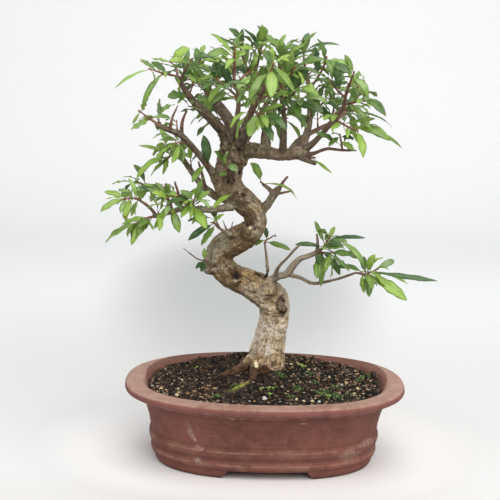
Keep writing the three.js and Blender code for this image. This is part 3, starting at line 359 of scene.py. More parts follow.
LIMBS = {
    "crown_left": (
        (-28, 20, 224, 5.4), (-34, 16, 235, 4.1), (-43, 10, 245, 3.5), (-51, 5, 253, 3), (-58, 2, 261, 2.4),
        (-63, 0, 269, 2.1), (-66, -2, 274, 2.1)),
    "crown_left_back": (
        (-24, 22, 231, 5), (-30, 27, 242, 4.3), (-36, 31, 250, 3.9), (-43, 34, 258, 3.5),
        (-48, 36, 267, 2.9), (-53, 37, 272, 2.2)),
    "leader_front": (
        (-23, 12, 228, 3.5), (-24, 4, 240, 2.4), (-23, 0, 251, 1.9), (-23, -3, 262, 1.6),
        (-26, -5, 272, 1.4), (-26, -6, 283, 1.2)),
    "leader_back": (
        (-20, 24, 229, 3.7), (-17, 32, 240, 2.9), (-13, 39, 250, 2.3), (-12, 45, 261, 1.9),
        (-12, 49, 271, 1.6), (-10, 51, 283, 1.3)),
    "crown_front": (
        (-21, 8, 225, 3.7), (-17, -10, 238, 2.4), (-13, -24, 252, 1.8), (-8, -34, 263, 1.5),
        (-4, -40, 273, 1.3)),
    "crown_right": (
        (-21, 17, 222, 7.1), (-11, 12, 222, 5.5), (-1, 8, 221, 4.7), (10, 6, 220, 4), (19, 4, 222, 4.8),
        (26, 2, 223, 4.2)),
    "right_stub": ((21, 3, 219, 2.4), (27, 0, 217, 2), (32, -3, 215, 1.5)),
    "right_low": (
        (24, 2, 220, 2.1), (31, -6, 223, 1.5), (39, -14, 227, 1.3), (49, -22, 227, 1.1),
        (58, -30, 228, 0.8)),
    "right_outer": (
        (24, 2, 224, 2.8), (31, -4, 231, 2.2), (38, -10, 240, 2), (44, -14, 249, 1.9), (49, -18, 256, 1.7),
        (50, -22, 264, 1.4), (52, -27, 273, 1.1)),
    "right_leader": (
        (23, 5, 226, 3.4), (26, 14, 235, 2.7), (28, 20, 245, 2.4), (28, 26, 254, 2), (27, 32, 267, 1.7),
        (25, 37, 280, 1.4)),
    "middle_back": (
        (-3, 12, 223, 4.1), (-3, 18, 235, 3.3), (-2, 25, 243, 2.6), (1, 34, 251, 2.1), (5, 43, 259, 1.7),
        (7, 52, 268, 1.3)),
    "middle_front": (
        (9, 6, 221, 3.2), (9, -6, 236, 2.4), (9, -12, 247, 2), (7, -17, 258, 1.7), (6, -22, 269, 1.4),
        (5, -26, 280, 1.1)),
    "right_back": (
        (14, 8, 222, 2.7), (22, 22, 230, 2.2), (35, 36, 236, 1.7), (49, 48, 242, 1.5), (59, 57, 251, 1.2)),
    "back_left": (
        (-26, 27, 222, 4.6), (-29, 42, 232, 3.2), (-33, 58, 241, 2.4), (-37, 71, 249, 1.8),
        (-39, 80, 258, 1.4)),
    "back_right": (
        (-21, 24, 225, 4.2), (-13, 46, 235, 3.1), (-6, 61, 245, 2.4), (-1, 73, 254, 1.8), (4, 81, 264, 1.4)),
    "shoulder_left": (
        (-36, 19, 196, 3.6), (-43, 12, 209, 2.7), (-50, 4, 219, 2.3), (-58, -2, 229, 2.2),
        (-65, -6, 235, 2.3), (-73, -9, 238, 1.9), (-80, -11, 242, 1.4)),
    "shoulder_spur": ((-62, -4, 233, 1.7), (-62, 2, 242, 1.3), (-59, 6, 250, 0.9)),
    "shoulder_spur_low": ((-70, -8, 237, 1.4), (-68, -14, 246, 1), (-64, -18, 255, 0.8)),
    "back_shoulder": (
        (-30, 21, 187, 4), (-37, 23, 187, 3.4), (-46, 27, 192, 2.8), (-53, 31, 199, 2.4),
        (-60, 35, 208, 2.1), (-66, 38, 215, 1.9), (-73, 40, 219, 1.5), (-83, 42, 221, 1)),
    "back_shoulder_spur": ((-46, 24, 192, 1.7), (-48, 20, 202, 1.3), (-51, 17, 213, 0.9)),
    "low_left": (
        (-26, 12, 182, 3.6), (-37, 7, 180, 2.6), (-48, 3, 180, 2.2), (-57, -2, 182, 2), (-67, -7, 180, 1.8),
        (-75, -11, 178, 1.6), (-81, -14, 177, 1.5)),
    "low_left_fork": ((-79, -13, 178, 1.5), (-82, -17, 183, 1.3), (-86, -20, 187, 1.2), (-90, -23, 190, 1)),
    "low_left_spur": ((-62, -4, 182, 1.6), (-63, -9, 191, 1.3), (-66, -13, 202, 0.9)),
    "low_left_back": ((-53, 1, 181, 1.8), (-64, 14, 185, 1.4), (-77, 25, 189, 1.2), (-88, 33, 192, 0.9)),
    "right_snag": ((-7, 16, 176, 4), (-1, 13, 183, 3.2), (3, 11, 190, 3.1), (7, 9, 196, 2.4)),
    "snag_fork_left": ((4, 10, 191, 2.1), (-1, 8, 196, 1.6), (-5, 6, 199, 1.2)),
    "snag_fork_up": ((7, 9, 195, 1.7), (10, 6, 201, 1.2), (13, 4, 205, 0.9)),
    "snag_fork_right": ((4, 12, 191, 1.6), (11, 15, 192, 1.1), (17, 18, 193, 0.9)),
    "low_right": (
        (-2, 16, 122, 4.7), (7, 10, 131, 2.7), (14, 7, 134, 2.8), (18, 5, 140, 2.7), (23, 3, 146, 2.2),
        (30, 1, 149, 1.9), (37, -1, 153, 1.9)),
    "low_right_sweep": (
        (13, 8, 134, 2), (24, 4, 132, 1.5), (33, 0, 129, 1.4), (47, -6, 133, 1.1), (56, -10, 137, 1.1),
        (62, -13, 140, 0.9)),
    "low_right_spur": ((35, -1, 152, 1.6), (35, -4, 160, 1.2), (34, -6, 166, 0.9)),
    "low_right_riser": (
        (-2, 20, 122, 3.4), (0, 18, 131, 1.8), (0, 20, 138, 1.3), (-1, 24, 146, 1.1), (-2, 27, 152, 0.9)),
    "low_right_inner": (
        (5, 12, 129, 2.4), (8, 2, 140, 1.3), (14, -4, 148, 1.1), (19, -8, 155, 1.1), (23, -10, 159, 0.8)),
    "left_whip": (
        (-35, 23, 138, 2.6), (-39, 17, 139, 1.8), (-44, 11, 142, 0.9), (-50, 5, 144, 0.8),
        (-60, -2, 153, 0.6)),
    "left_snag": ((-24, 19, 157, 3.6), (-28, 13, 161, 2.3), (-32, 9, 164, 1.5), (-36, 3, 168, 1)),
    "left_snag_twig": ((-28, 14, 160, 1.5), (-31, 13, 167, 0.8), (-33, 12, 172, 0.5)),
    "left_snag_end": ((-24, 15, 160, 1.6), (-26, 10, 167, 0.9), (-25, 8, 172, 0.5)),
}

ROOTS = {
    "root_left": [(-1, 25, 70, 8), (-10, 23, 64, 6), (-18, 21, 59, 4.4), (-27, 17, 55.5, 3),
                  (-38, 12, 52.4, 2)],
    "root_pale": [(-4, 18, 64, 5), (-8, 11, 60, 3.4), (-9, 3, 57, 2.5), (-12, -5, 55.8, 2.1),
                  (-18, -13, 54.6, 2), (-26, -20, 52.6, 1.6)],
    "root_right": [(3, 25, 58, 7), (12, 21, 54, 5), (22, 16, 50, 3)],
    "root_back": [(0, 32, 60, 7), (-3, 40, 55, 5), (-7, 48, 51, 3)],
    "root_left_back": [(-2, 30, 62, 7), (-13, 35, 57, 5), (-24, 39, 51, 3)],
}

KNOTS = {
    "knot_right": ((4, 20, 104, 7), (10, 14, 106.5, 5.4), (13, 11, 107.5, 3.4)),
    "knot_elbow": ((-2, 20, 116, 8), (2, 13, 121, 6.4), (3, 10, 123.5, 4.2)),
    "knot_hollow": ((-25, 24, 128, 8), (-22, 16, 128, 5.6), (-21, 13, 128, 3.8)),
    "knot_left": ((-34, 28, 138, 8), (-42, 23, 134, 5), (-45, 21, 133, 3.2)),
    "knot_upper": ((-16, 20, 160, 8), (-12, 12, 163, 5.6), (-11, 9.5, 164, 3.6)),
    "knot_neck": ((-20, 18, 186, 8), (-16, 10, 189, 5.4), (-15, 8, 190, 3.4)),
    "knot_fork": ((-26, 20, 216, 9), (-20, 13, 217, 7), (-18, 11, 217.5, 4.6)),
    "knot_back": ((-30, 22, 200, 8), (-36, 30, 202, 5.4), (-38, 33, 203, 3.4)),
}

print("limbs:", len(LIMBS), "roots:", len(ROOTS), "knots:", len(KNOTS))

# %% [markdown]
# ## Smooth runs and tubes
#
# A Catmull-Rom curve passes through every sketched ring, so the limb bends smoothly and its radius
# changes little by little. A tube is then swept along it. Its frame is carried from ring to ring
# without twist, which later lets the bark's grain run along the limb.

# %% A smooth path through rings
def smooth_path(points, steps):
    """A Catmull-Rom curve through the points, with any values that they carry."""
    points = np.array(points, float)
    last = len(points) - 1
    path = []
    for i in range(last):
        a, b = points[max(i - 1, 0)], points[i]
        c, d = points[i + 1], points[min(i + 2, last)]
        for k in range(steps):
            t = k / steps
            path.append(0.5 * (2 * b + (c - a) * t + (2 * a - 5 * b + 4 * c - d) * t * t
                               + (3 * b - a - 3 * c + d) * t ** 3))
    path.append(points[last])
    return np.array(path)


def unit(v):
    return v / max(float(np.linalg.norm(v)), 1e-9)


def square(axis, hint):
    """Part of the hint that stands square to the axis."""
    return unit(hint - axis * float(np.dot(axis, hint)))


def carried_frames(path):
    """Along the path, and two directions square to it, at each ring, carried along without twist."""
    frames = []
    side = None
    for i in range(len(path)):
        along = unit(path[min(i + 1, len(path) - 1)][:3] - path[max(i - 1, 0)][:3])
        start = np.array((1.0, 0, 0)) if abs(along[0]) < 0.8 else np.array((0, 1.0, 0))
        side = square(along, start if side is None else side)
        frames.append((along, side, np.cross(side, along)))
    return frames


PATH_STEPS = 4
steps = np.diff(smooth_path(TRUNK, PATH_STEPS)[:, :3], axis=0)
print("trunk's length:", round(float(np.linalg.norm(steps, axis=1).sum())), "mm")

# %% Sweep a tube along rings
TIP_SHARE = 0.6


def side_faces(rows, sides):
    """Faces between rows of points that each go once round."""
    faces = []
    for i in range(rows - 1):
        for k in range(sides):
            a, b = i * sides + k, i * sides + (k + 1) % sides
            faces.append((a, b, b + sides, a + sides))
    return faces


def tube(path, sides, swell=None):
    """Points and faces of a closed tube. `swell` may change a ring's radius by angle and ring."""
    points = []
    frames = carried_frames(path)
    for i, (ring, (_, side, across)) in enumerate(zip(path, frames)):
        for k in range(sides):
            angle = math.tau * k / sides
            reach = ring[3] * (swell(angle, i) if swell else 1)
            points.append(ring[:3] + side * math.cos(angle) * reach + across * math.sin(angle) * reach)
    points.append(path[-1][:3] + frames[-1][0] * path[-1][3] * TIP_SHARE)
    top = (len(path) - 1) * sides
    faces = side_faces(len(path), sides)
    faces.append(tuple(range(sides - 1, -1, -1)))
    faces += [(top + k, top + (k + 1) % sides, len(points) - 1) for k in range(sides)]
    return points, faces


print("a tube of two rings:", len(tube(np.array([(0, 0, 0, 1.0), (0, 0, 5, 1.0)]), 8)[1]), "faces")

# %% [markdown]
# ## One skin for all the wood
#
# On a living tree a limb doesn't simply poke out of the trunk: the wood flows round its foot in a
# collar. Tubes that only cross would show a hard seam there. A voxel remesh joins them into one
# skin, and a few rounds of smoothing then fill each crotch like a collar.

# %% Join the tubes and melt them together
WOOD_VOXEL = 0.76
MELT_ROUNDS = 4


def trunk_swell(angle, row):
    """An old trunk isn't round: strands of wood stand out like muscles and wind round it."""
    return 1 + 0.045 * math.sin(3 * angle + row * 0.09) + 0.03 * math.sin(5 * angle - row * 0.13)


def root_swell(angle, row):
    """A root is a little flat, and turns slowly."""
    return 1 + 0.08 * math.sin(2 * angle + row * 0.3)


blank = Skin()
for runs, sides, swell in (([TRUNK], 28, trunk_swell), (LIMBS.values(), 14, None),
                           (ROOTS.values(), 16, root_swell), (KNOTS.values(), 14, None)):
    for rings in runs:
        blank.add(*tube(smooth_path(rings, PATH_STEPS), sides, swell))

wood = blank.piece("wood", [])
remesh = wood.modifiers.new("join", "REMESH")
remesh.mode = "VOXEL"
remesh.voxel_size = WOOD_VOXEL * MM
remesh.use_smooth_shade = True
melt = wood.modifiers.new("melt", "SMOOTH")
melt.factor = 0.5
melt.iterations = MELT_ROUNDS
apply_modifiers(wood)
print(size_of(wood))

# %% [markdown]
# ## Bark relief
#
# Pomegranate bark is thin: it follows the strands of the wood, lies in long shallow ridges, and breaks
# into small pits and flakes where it is old. Relief is made by moving each point of the skin in or out.
# For that, every point looks up the nearest limb, so it knows how thick the wood is there, how far
# along the limb it lies and which way the grain runs. Those values also stay on the mesh for the bark's
# colours: the trunk is tan, the limbs are grey and the twigs are reddish brown.

# %% Search trees of the rings
AXIS_STEPS = 6
RUN_APART = 400
RINGS_NEAR = 14


def tree_of(rings):
    """A search tree, which finds the rings near a point fast."""
    tree = kdtree.KDTree(len(rings))
    for i, ring in enumerate(rings):
        tree.insert(ring[:3], i)
    tree.balance()
    return tree


axis_rings, axis_frames, axis_runs, axis_kinds = [], [], [], []
for kind, rings in enumerate([TRUNK, *LIMBS.values(), *ROOTS.values()]):
    path = smooth_path(rings, AXIS_STEPS)
    run = 0.0
    for i, (ring, way) in enumerate(zip(path, carried_frames(path))):
        run += float(np.linalg.norm(ring[:3] - path[max(i - 1, 0)][:3]))
        axis_rings.append(ring)
        axis_frames.append(way)
        axis_runs.append(run + RUN_APART * kind)
        axis_kinds.append(kind)
axis_tree = tree_of(axis_rings)
trunk_rings = smooth_path(TRUNK, AXIS_STEPS)
trunk_tree = tree_of(trunk_rings)
first_root = 1 + len(LIMBS)
pale_root = first_root + list(ROOTS).index("root_pale")


def nearest_ring(point):
    """The ring whose surface the point lies nearest to."""
    found = axis_tree.find_n(point, RINGS_NEAR)
    return min(found, key=lambda hit: abs(hit[2] - axis_rings[hit[1]][3]))[1]


print("rings to search:", len(axis_rings))

# %% What each point of the skin knows
COLLAR_REACH = 1.9
COLLAR_FADE = 3.0

spots = read_points(wood.data) / MM + np.array(CENTRE)
normals = read_points(wood.data, "normal")
count = len(spots)
grain, girth, root = np.zeros((count, 3)), np.zeros(count), np.zeros(count)
for i, spot in enumerate(spots):
    near = nearest_ring(spot)
    along, side, across = axis_frames[near]
    off = spot - axis_rings[near][:3]
    grain[i] = np.dot(off, side), np.dot(off, across), axis_runs[near] + np.dot(off, along)
    _, core, away = trunk_tree.find(spot)
    collar = held(COLLAR_REACH - (away - trunk_rings[core][3]) / COLLAR_FADE)
    girth[i] = max(axis_rings[near][3], collar * trunk_rings[core][3])
    root[i] = (axis_kinds[near] >= first_root) + (axis_kinds[near] == pale_root)
print("girth from", round(float(girth.min()), 1), "to", round(float(girth.max()), 1), "mm")

# %% [markdown]
# Old wounds give a trunk its age. Each mark below is a place on the surface, its radius, how deep the
# wood has rotted away there, and how dark it has turned: a hollow beside the first bend, a torn scar on
# top of the elbow, and small pits all over. A healed knot is a ring of dark folds round a paler middle.
# A pale mark is a place where the bark was rubbed off not long ago.

# %% Marks on the trunk
MARKS = (
    ((-22.2, 13.8, 132.4), 4.2, 4.6, 1.9), ((-23.6, 20.6, 135.4), 2.4, 0.6, 0.8),
    ((-6.2, 20.0, 130.9), 2.6, 1.2, 1.2), ((-1.4, 17.6, 131.6), 3.4, 1.6, 1.3),
    ((2.2, 16.8, 131.0), 2.4, 1.0, 1.0), ((-1.1, 14.1, 128.0), 1.8, 0.8, 0.9),
    ((-19.8, 12.7, 125.6), 1.7, 0.9, 1.0), ((-16.5, 13.0, 168.5), 2.2, 0.7, 0.7),
    ((-12.2, 10.0, 169.8), 2.0, 0.4, 0.6), ((-10.0, 9.3, 165.9), 1.8, 0.7, 0.8),
    ((-14.6, 9.6, 161.2), 2.0, 0.7, 0.8), ((-18.1, 8.0, 190.1), 2.2, 1.0, 1.1),
    ((-23.4, 9.1, 191.2), 1.6, 0.7, 0.9), ((-19.4, 14.0, 206.0), 2.8, 1.1, 1.1),
    ((-22.6, 7.0, 222.9), 3.0, 1.0, 0.9), ((-33.0, 14.0, 221.0), 2.6, 0.9, 0.8),
    ((9.6, 10.8, 112.2), 1.6, 0.3, 0.7), ((12.6, 12.6, 105.6), 1.6, 0.3, 0.6),
    ((13.2, 14.8, 101.0), 1.3, 0.2, 0.6), ((1.1, 7.5, 121.3), 1.5, 0.2, 0.65),
    ((-8.3, 11.1, 119.2), 1.5, 0.2, 0.65), ((-11.9, 13.3, 126.3), 1.6, 0.2, 0.65),
    ((-27.0, 18.4, 134.3), 2.6, 0.5, 0.7), ((3.2, 13.2, 90.3), 1.2, 0.25, 0.7),
    ((-1.3, 13.9, 83.2), 1.0, 0.25, 0.65), ((1.0, 13.4, 83.2), 1.2, 0.25, 0.7),
    ((0.3, 13.5, 81.0), 1.1, 0.25, 0.6), ((-36.0, 44.0, 140.0), 3.4, 1.6, 0.8),
    ((6.0, 40.0, 108.0), 3.4, 1.4, 0.8), ((-22.0, 36.0, 205.0), 3.0, 1.4, 0.8),
)
HEALED = (((11.6, 11.0, 109.8), 4.7), ((-27.0, 10.5, 204), 3.6), ((2.0, 38, 84), 4.0))
PALE_MARKS = (((-13.1, 9.5, 166.6), 1.3), ((-8.2, 14.2, 69.6), 1.2), ((-7.3, 13.9, 67.6), 1.5),
              ((-6.7, 13.0, 65.8), 1.5), ((-6.3, 11.4, 63.8), 1.4))
print("marks:", len(MARKS), "healed knots:", len(HEALED), "pale marks:", len(PALE_MARKS))

# %% Press the marks into the wood
FRAY = 1.3
LIP_PLACE = 1.55
LIP_HEIGHT = 0.35
FOLD_PLACE = 0.85


def noise_at(spot, rate, shift=(0, 0, 0)):
    """Noise at a point, from about -1 to 1. Its features are about 1 / rate millimetres wide."""
    return noise.noise(Vector(spot) * rate + Vector(shift))


def distance_to(place, points):
    return np.linalg.norm(points - np.array(place), axis=1)


relief, dark, pale = np.zeros(count), np.zeros(count), np.zeros(count)
frayed = spots + [FRAY * noise.noise_vector(Vector(spot) * 0.5) for spot in spots]
for place, radius, depth, shade in MARKS:
    away = distance_to(place, frayed) / radius
    bowl = np.exp(-(away ** 2) * 1.1)
    lip = np.exp(-((away - LIP_PLACE) ** 2) * 5.0)
    relief += -depth * bowl + LIP_HEIGHT * min(depth, 1.2) * lip
    dark = np.maximum(dark, shade * bowl)
for place, radius in HEALED:
    for i in np.flatnonzero(distance_to(place, spots) < 2.2 * radius):
        spot = Vector(spots[i])
        warp = noise.noise_vector(spot * 0.25) * 1.2 + noise.noise_vector(spot * 0.7) * 0.9
        offset = (spot + warp - Vector(place)) / radius
        away = math.sqrt(offset.x ** 2 + offset.y ** 2 + 0.4 * offset.z ** 2)
        patchy = 0.85 + 0.7 * noise_at(spot, 0.45, (3, 3, 3))
        folds = math.exp(-((away - FOLD_PLACE) ** 2) * 11) * max(0.0, patchy)
        relief[i] += 0.7 * math.exp(-(away ** 2) * 0.9) - 0.8 * folds
        dark[i] = max(dark[i], 0.88 * folds, 0.56 * math.exp(-(away ** 4) * 0.8))
for place, radius in PALE_MARKS:
    pale = np.maximum(pale, np.exp(-(distance_to(place, spots) / radius) ** 2))
print("points in dark wood:", int((dark > 0.5).sum()))

# %% Ridges, flakes and pits
THIN_WOOD = 2.2
BURL_TOP = 82
CROWN_WOOD = 196
WOOD_FADE = 14

old = np.clip((girth - THIN_WOOD) / 6.0, 0, 1)
for i, (x, y, run) in enumerate(grain):
    spot = spots[i]
    strand = noise_at((x * 0.16, y * 0.16, run * 0.022), 1)
    ridge = noise_at((x * 0.62, y * 0.62, run * 0.10 + 7), 1)
    fine = noise_at((x * 1.5, y * 1.5, run * 0.45 + 19), 1)
    flake = noise_at(spot, 0.42)
    pit = max(0.0, noise_at(spot, 0.75, (5, 0, 0)) - 0.22)
    lump = noise_at(spot, 0.2, (0, 9, 0))
    rough = 0.5 * held((BURL_TOP - spot[2]) / WOOD_FADE) + held((spot[2] - CROWN_WOOD) / WOOD_FADE)
    relief[i] += old[i] * (0.75 * strand + 0.4 * ridge + 0.34 * fine + 0.5 * flake - 1.9 * pit)
    relief[i] += old[i] * ((0.5 + 0.5 * rough) * lump + rough * 0.5 * flake)
    relief[i] += (1 - old[i]) * 0.10 * girth[i] * noise_at(spot, 0.35)
moved = (spots + normals * relief[:, None] - np.array(CENTRE)) * MM
wood.data.vertices.foreach_set("co", moved.ravel())
for name, column in (("girth", girth), ("dark", dark), ("pale", pale), ("root", root), ("relief", relief)):
    write_values(wood.data, name, column)
way = wood.data.attributes.new("grain", "FLOAT_VECTOR", "POINT")
way.data.foreach_set("vector", grain.astype(np.float32).ravel())
wood.data.update()
print("relief from", round(float(relief.min()), 2), "to", round(float(relief.max()), 2), "mm")

# %% [markdown]
# ## Bark
#
# The foot of the trunk is a pale ribbed column. Above the first bend the old bark is a patchwork: tan
# where it has flaked, grey where it is whole and weathered, greenish where algae grow, dark brown in
# every pit, which is painted shade. The undersides, the fork of the crown and the side of each bend
# turned from the light are darkened by painted shade too. The wood of the crown is darker, and thin wood
# is plainer: greyish limbs, reddish twigs.
# Noise that reads the `grain` value of the mesh, squeezed along the limb, stretches along the grain.

# %% Patterns that all of the bark shares
bark = Finish("bark", Roughness=0.8, Specular_IOR_Level=0.25)
grain_way = bark.value("grain", "Vector")
where = bark.place()
x, y, height = bark.axes(where)
to_right, _, to_top = bark.axes(bark.facing())
fibres = bark.noise(grain_way * (1.0, 1.0, 0.3), 1.5, 5, 0.7, 0.4)
streaks = bark.noise(grain_way * (1.0, 1.0, 0.12), 1.1, 4, 0.7)
blotches = bark.noise(where * (1.0, 1.0, 0.7), 6.0, 5, 0.68, 0.7)
broad = bark.noise(where, 16, 3, 0.6, 0.4)
mottle = bark.noise(where, 3.0, 4, 0.68, 0.5)
freckles = bark.noise(where, 1.0, 3, 0.65)
print("nodes of the bark's patterns:", len(bark.tree.nodes))

# %% The old bark of the trunk
# The trunk's foot is a pale column. The upper trunk has painted shade on the side turned from the
# light, and a burl swells the foot.
column = (height - x * 0.8 + blotches * 26.0).rise(150.0, 110.0)
upper = 1.0 - column
patches = blotches.rise(0.4, 0.6)
tan = column.blend(patches.blend("6b5435", "a48a5e"), patches.blend("a38a60", "dcc9a5"))
grey = column.blend(patches.blend("6c614f", "a59882"), patches.blend("a99880", "ddd0be"))
bare = column * 0.1 + height.rise(152.0, 165.0) * height.rise(196.0, 178.0) * 0.08
mossy = bark.noise(where, 9, 3, 0.6, 0.5).rise(0.46, 0.64) * height.rise(130.0, 142.0)
swing = height.rise(146.0, 166.0) * 2.0 - 1.0
toward_light = to_right * swing * 0.9 + to_top * 0.5 + blotches * 0.8 - 0.4
painted_shade_side = toward_light.rise(0.2, -0.35) * height.rise(100.0, 128.0)
burl = (height + blotches * 12.0).rise(82.0, 70.0)
bend = bark.node("TexNoise", None, {"Vector": where, "Scale": 0.5}, "Color") * (2.0, 2.0, 2.0)
nodules = bark.cells(where + bend, 2.3)
old_tone = bark.coats(
    (broad + bare).rise(0.48, 0.62).blend(tan, grey),
    (mossy * 0.55, "787a62"),
    (fibres.rise(0.55, 0.7) * 0.55, "dccfb8"),
    (column * streaks.rise(0.5, 0.64) * 0.5, "e6dccd"),
    (column * streaks.rise(0.45, 0.33) * 0.5, "8a775f"),
    (upper * streaks.rise(0.5, 0.62) * 0.5, "b5a990"),
    (upper * streaks.rise(0.46, 0.34) * 0.5, "503d29"),
    # painted shade on the side of the upper trunk turned from the light
    (painted_shade_side * 0.6, "563f27"),
    (fibres.rise(0.46, 0.32) * 0.65, "59442c"),
    (mottle.rise(0.45, 0.33) * 0.65, "46331f"),
    (freckles.rise(0.42, 0.32) * 0.6, "3d2c1b"),
    (burl * 0.55, "b0905f"),
    (burl * nodules.rise(0.42, 0.12) * 0.6, "e0c897"),
    (burl * nodules.rise(0.5, 0.72) * 0.75, "4d3723"),
)
print("nodes with the old bark:", len(bark.tree.nodes))

# %% The wood of the crown, limbs and twigs
rugged_tone = bark.coats(
    blotches.rise(0.38, 0.62).blend("574837", "a39379"),
    (freckles.rise(0.5, 0.68) * 0.5, "ab9c82"),
    (mottle.rise(0.46, 0.34) * 0.55, "2f241b"),
    (broad.rise(0.48, 0.6) * 0.35, "7a5a44"),
    (blotches.rise(0.4, 0.3) * 0.6, "2a201a"),
    (freckles.rise(0.6, 0.7) * 0.4, "c0b399"),
)
thick_tone = bark.coats(
    old_tone,
    ((height + broad * 16.0).rise(194.0, 212.0) * 0.85, rugged_tone),
    # painted shade on the undersides of the thick wood
    (to_top.rise(0.0, -0.75) * 0.6, "4e3c26"),
    # painted shade in the hollows of the bark's relief
    (bark.value("relief").rise(-0.3, -1.2) * 0.8, "34251a"),
)
limb_tone = bark.coats(
    fibres.rise(0.35, 0.65).blend("5a5042", "a1957e"),
    (freckles.rise(0.55, 0.7) * 0.5, "b5a98f"),
    (mottle.rise(0.44, 0.32) * 0.6, "3a2c23"),
    (height.rise(205.0, 225.0) * 0.3, "3b2d24"),
    (broad.rise(0.46, 0.6) * height.rise(185.0, 205.0) * 0.4, "745440"),
    (height.rise(185.0, 165.0) * 0.35, "b3a895"),
    (blotches.rise(0.42, 0.3) * 0.55, "2b211b"),
    # painted shade on the undersides of the limbs
    (to_top.rise(0.15, -0.7) * 0.5, "3a2926"),
)
twig_tone = bark.coats(
    fibres.rise(0.3, 0.7).blend("523830", "8c6a56"),
    (height.rise(200.0, 176.0) * 0.85, fibres.blend("5a4b3d", "95866f")),
)
print("nodes with crown, limbs and twigs:", len(bark.tree.nodes))

# %% Roots and wounds, and the whole bark
# Roots are dark and damp. The one in front has lost its bark and is yellow-green, darker at its end,
# and its sides are darkened by painted shade so that its top reads as lit.
root_tone = bark.coats(
    blotches.rise(0.35, 0.65).blend("2a1d14", "5e4431"),
    (freckles.rise(0.45, 0.35) * 0.7, "17110d"),
    (mottle.rise(0.52, 0.66) * 0.4, "8a5a3c"),
)
pale_root_tone = bark.coats(
    blotches.rise(0.4, 0.68).blend("6f7130", "d3d06c"),
    # painted shade on the sides of the pale root, so that its top reads as lit
    (to_top.rise(0.75, 0.1) * 0.7, "4f5426"),
    ((y + mottle * 5.0).rise(-26.0, -31.0) * 0.85, "3f4322"),
)
thickness, is_root, is_dark = (bark.value(name) for name in ("girth", "root", "dark"))
# painted shade in the fork of the crown, where the limbs leave the trunk
painted_fork_shade = (height + blotches * 16.0).rise(224.0, 234.0) * height.rise(246.0, 234.0) * x.rise(0.0, -14.0)
low = (height + mottle * 8.0).rise(73.0, 66.0)
front = (y + mottle * 9.0).rise(-13.0, -25.0)
bark.paint(Roughness=0.72 + blotches * 0.2, Base_Color=bark.coats(
    twig_tone,
    (thickness.rise(1.1, 2.2), limb_tone),
    (thickness.rise(2.6, 6.4), thick_tone),
    # painted shade in the fork of the crown
    (painted_fork_shade * mottle.rise(0.62, 0.4) * 0.5, "241a15"),
    (is_root.rise(0.3, 0.9) * low, root_tone),
    (is_root.rise(1.2, 1.8) * front, pale_root_tone),
    (is_dark.rise(0.2, 0.55) * 0.5, "5e4134"),
    ((is_dark + mottle * 0.5).rise(0.45, 1.2), "261a14"),
    (bark.value("pale").rise(0.15, 0.7) * 0.9, "e6dcb2"),
))
bark.bump(fibres * 0.7 + mottle * 0.5 + freckles * 0.6, 1.0)
wood.data.materials.append(bark.material)
seat(wood, "bark", "trunk")
print("nodes of the whole bark:", len(bark.tree.nodes))

# %% [markdown]
# ## Sprays
#
# A spray is a leafy twig. Each row gives how young it is, how many drawn pairs fill it, the length of
# their leaves, the twig's points, and the leaves that were read from the plant one by one: their tip,
# width and arch.

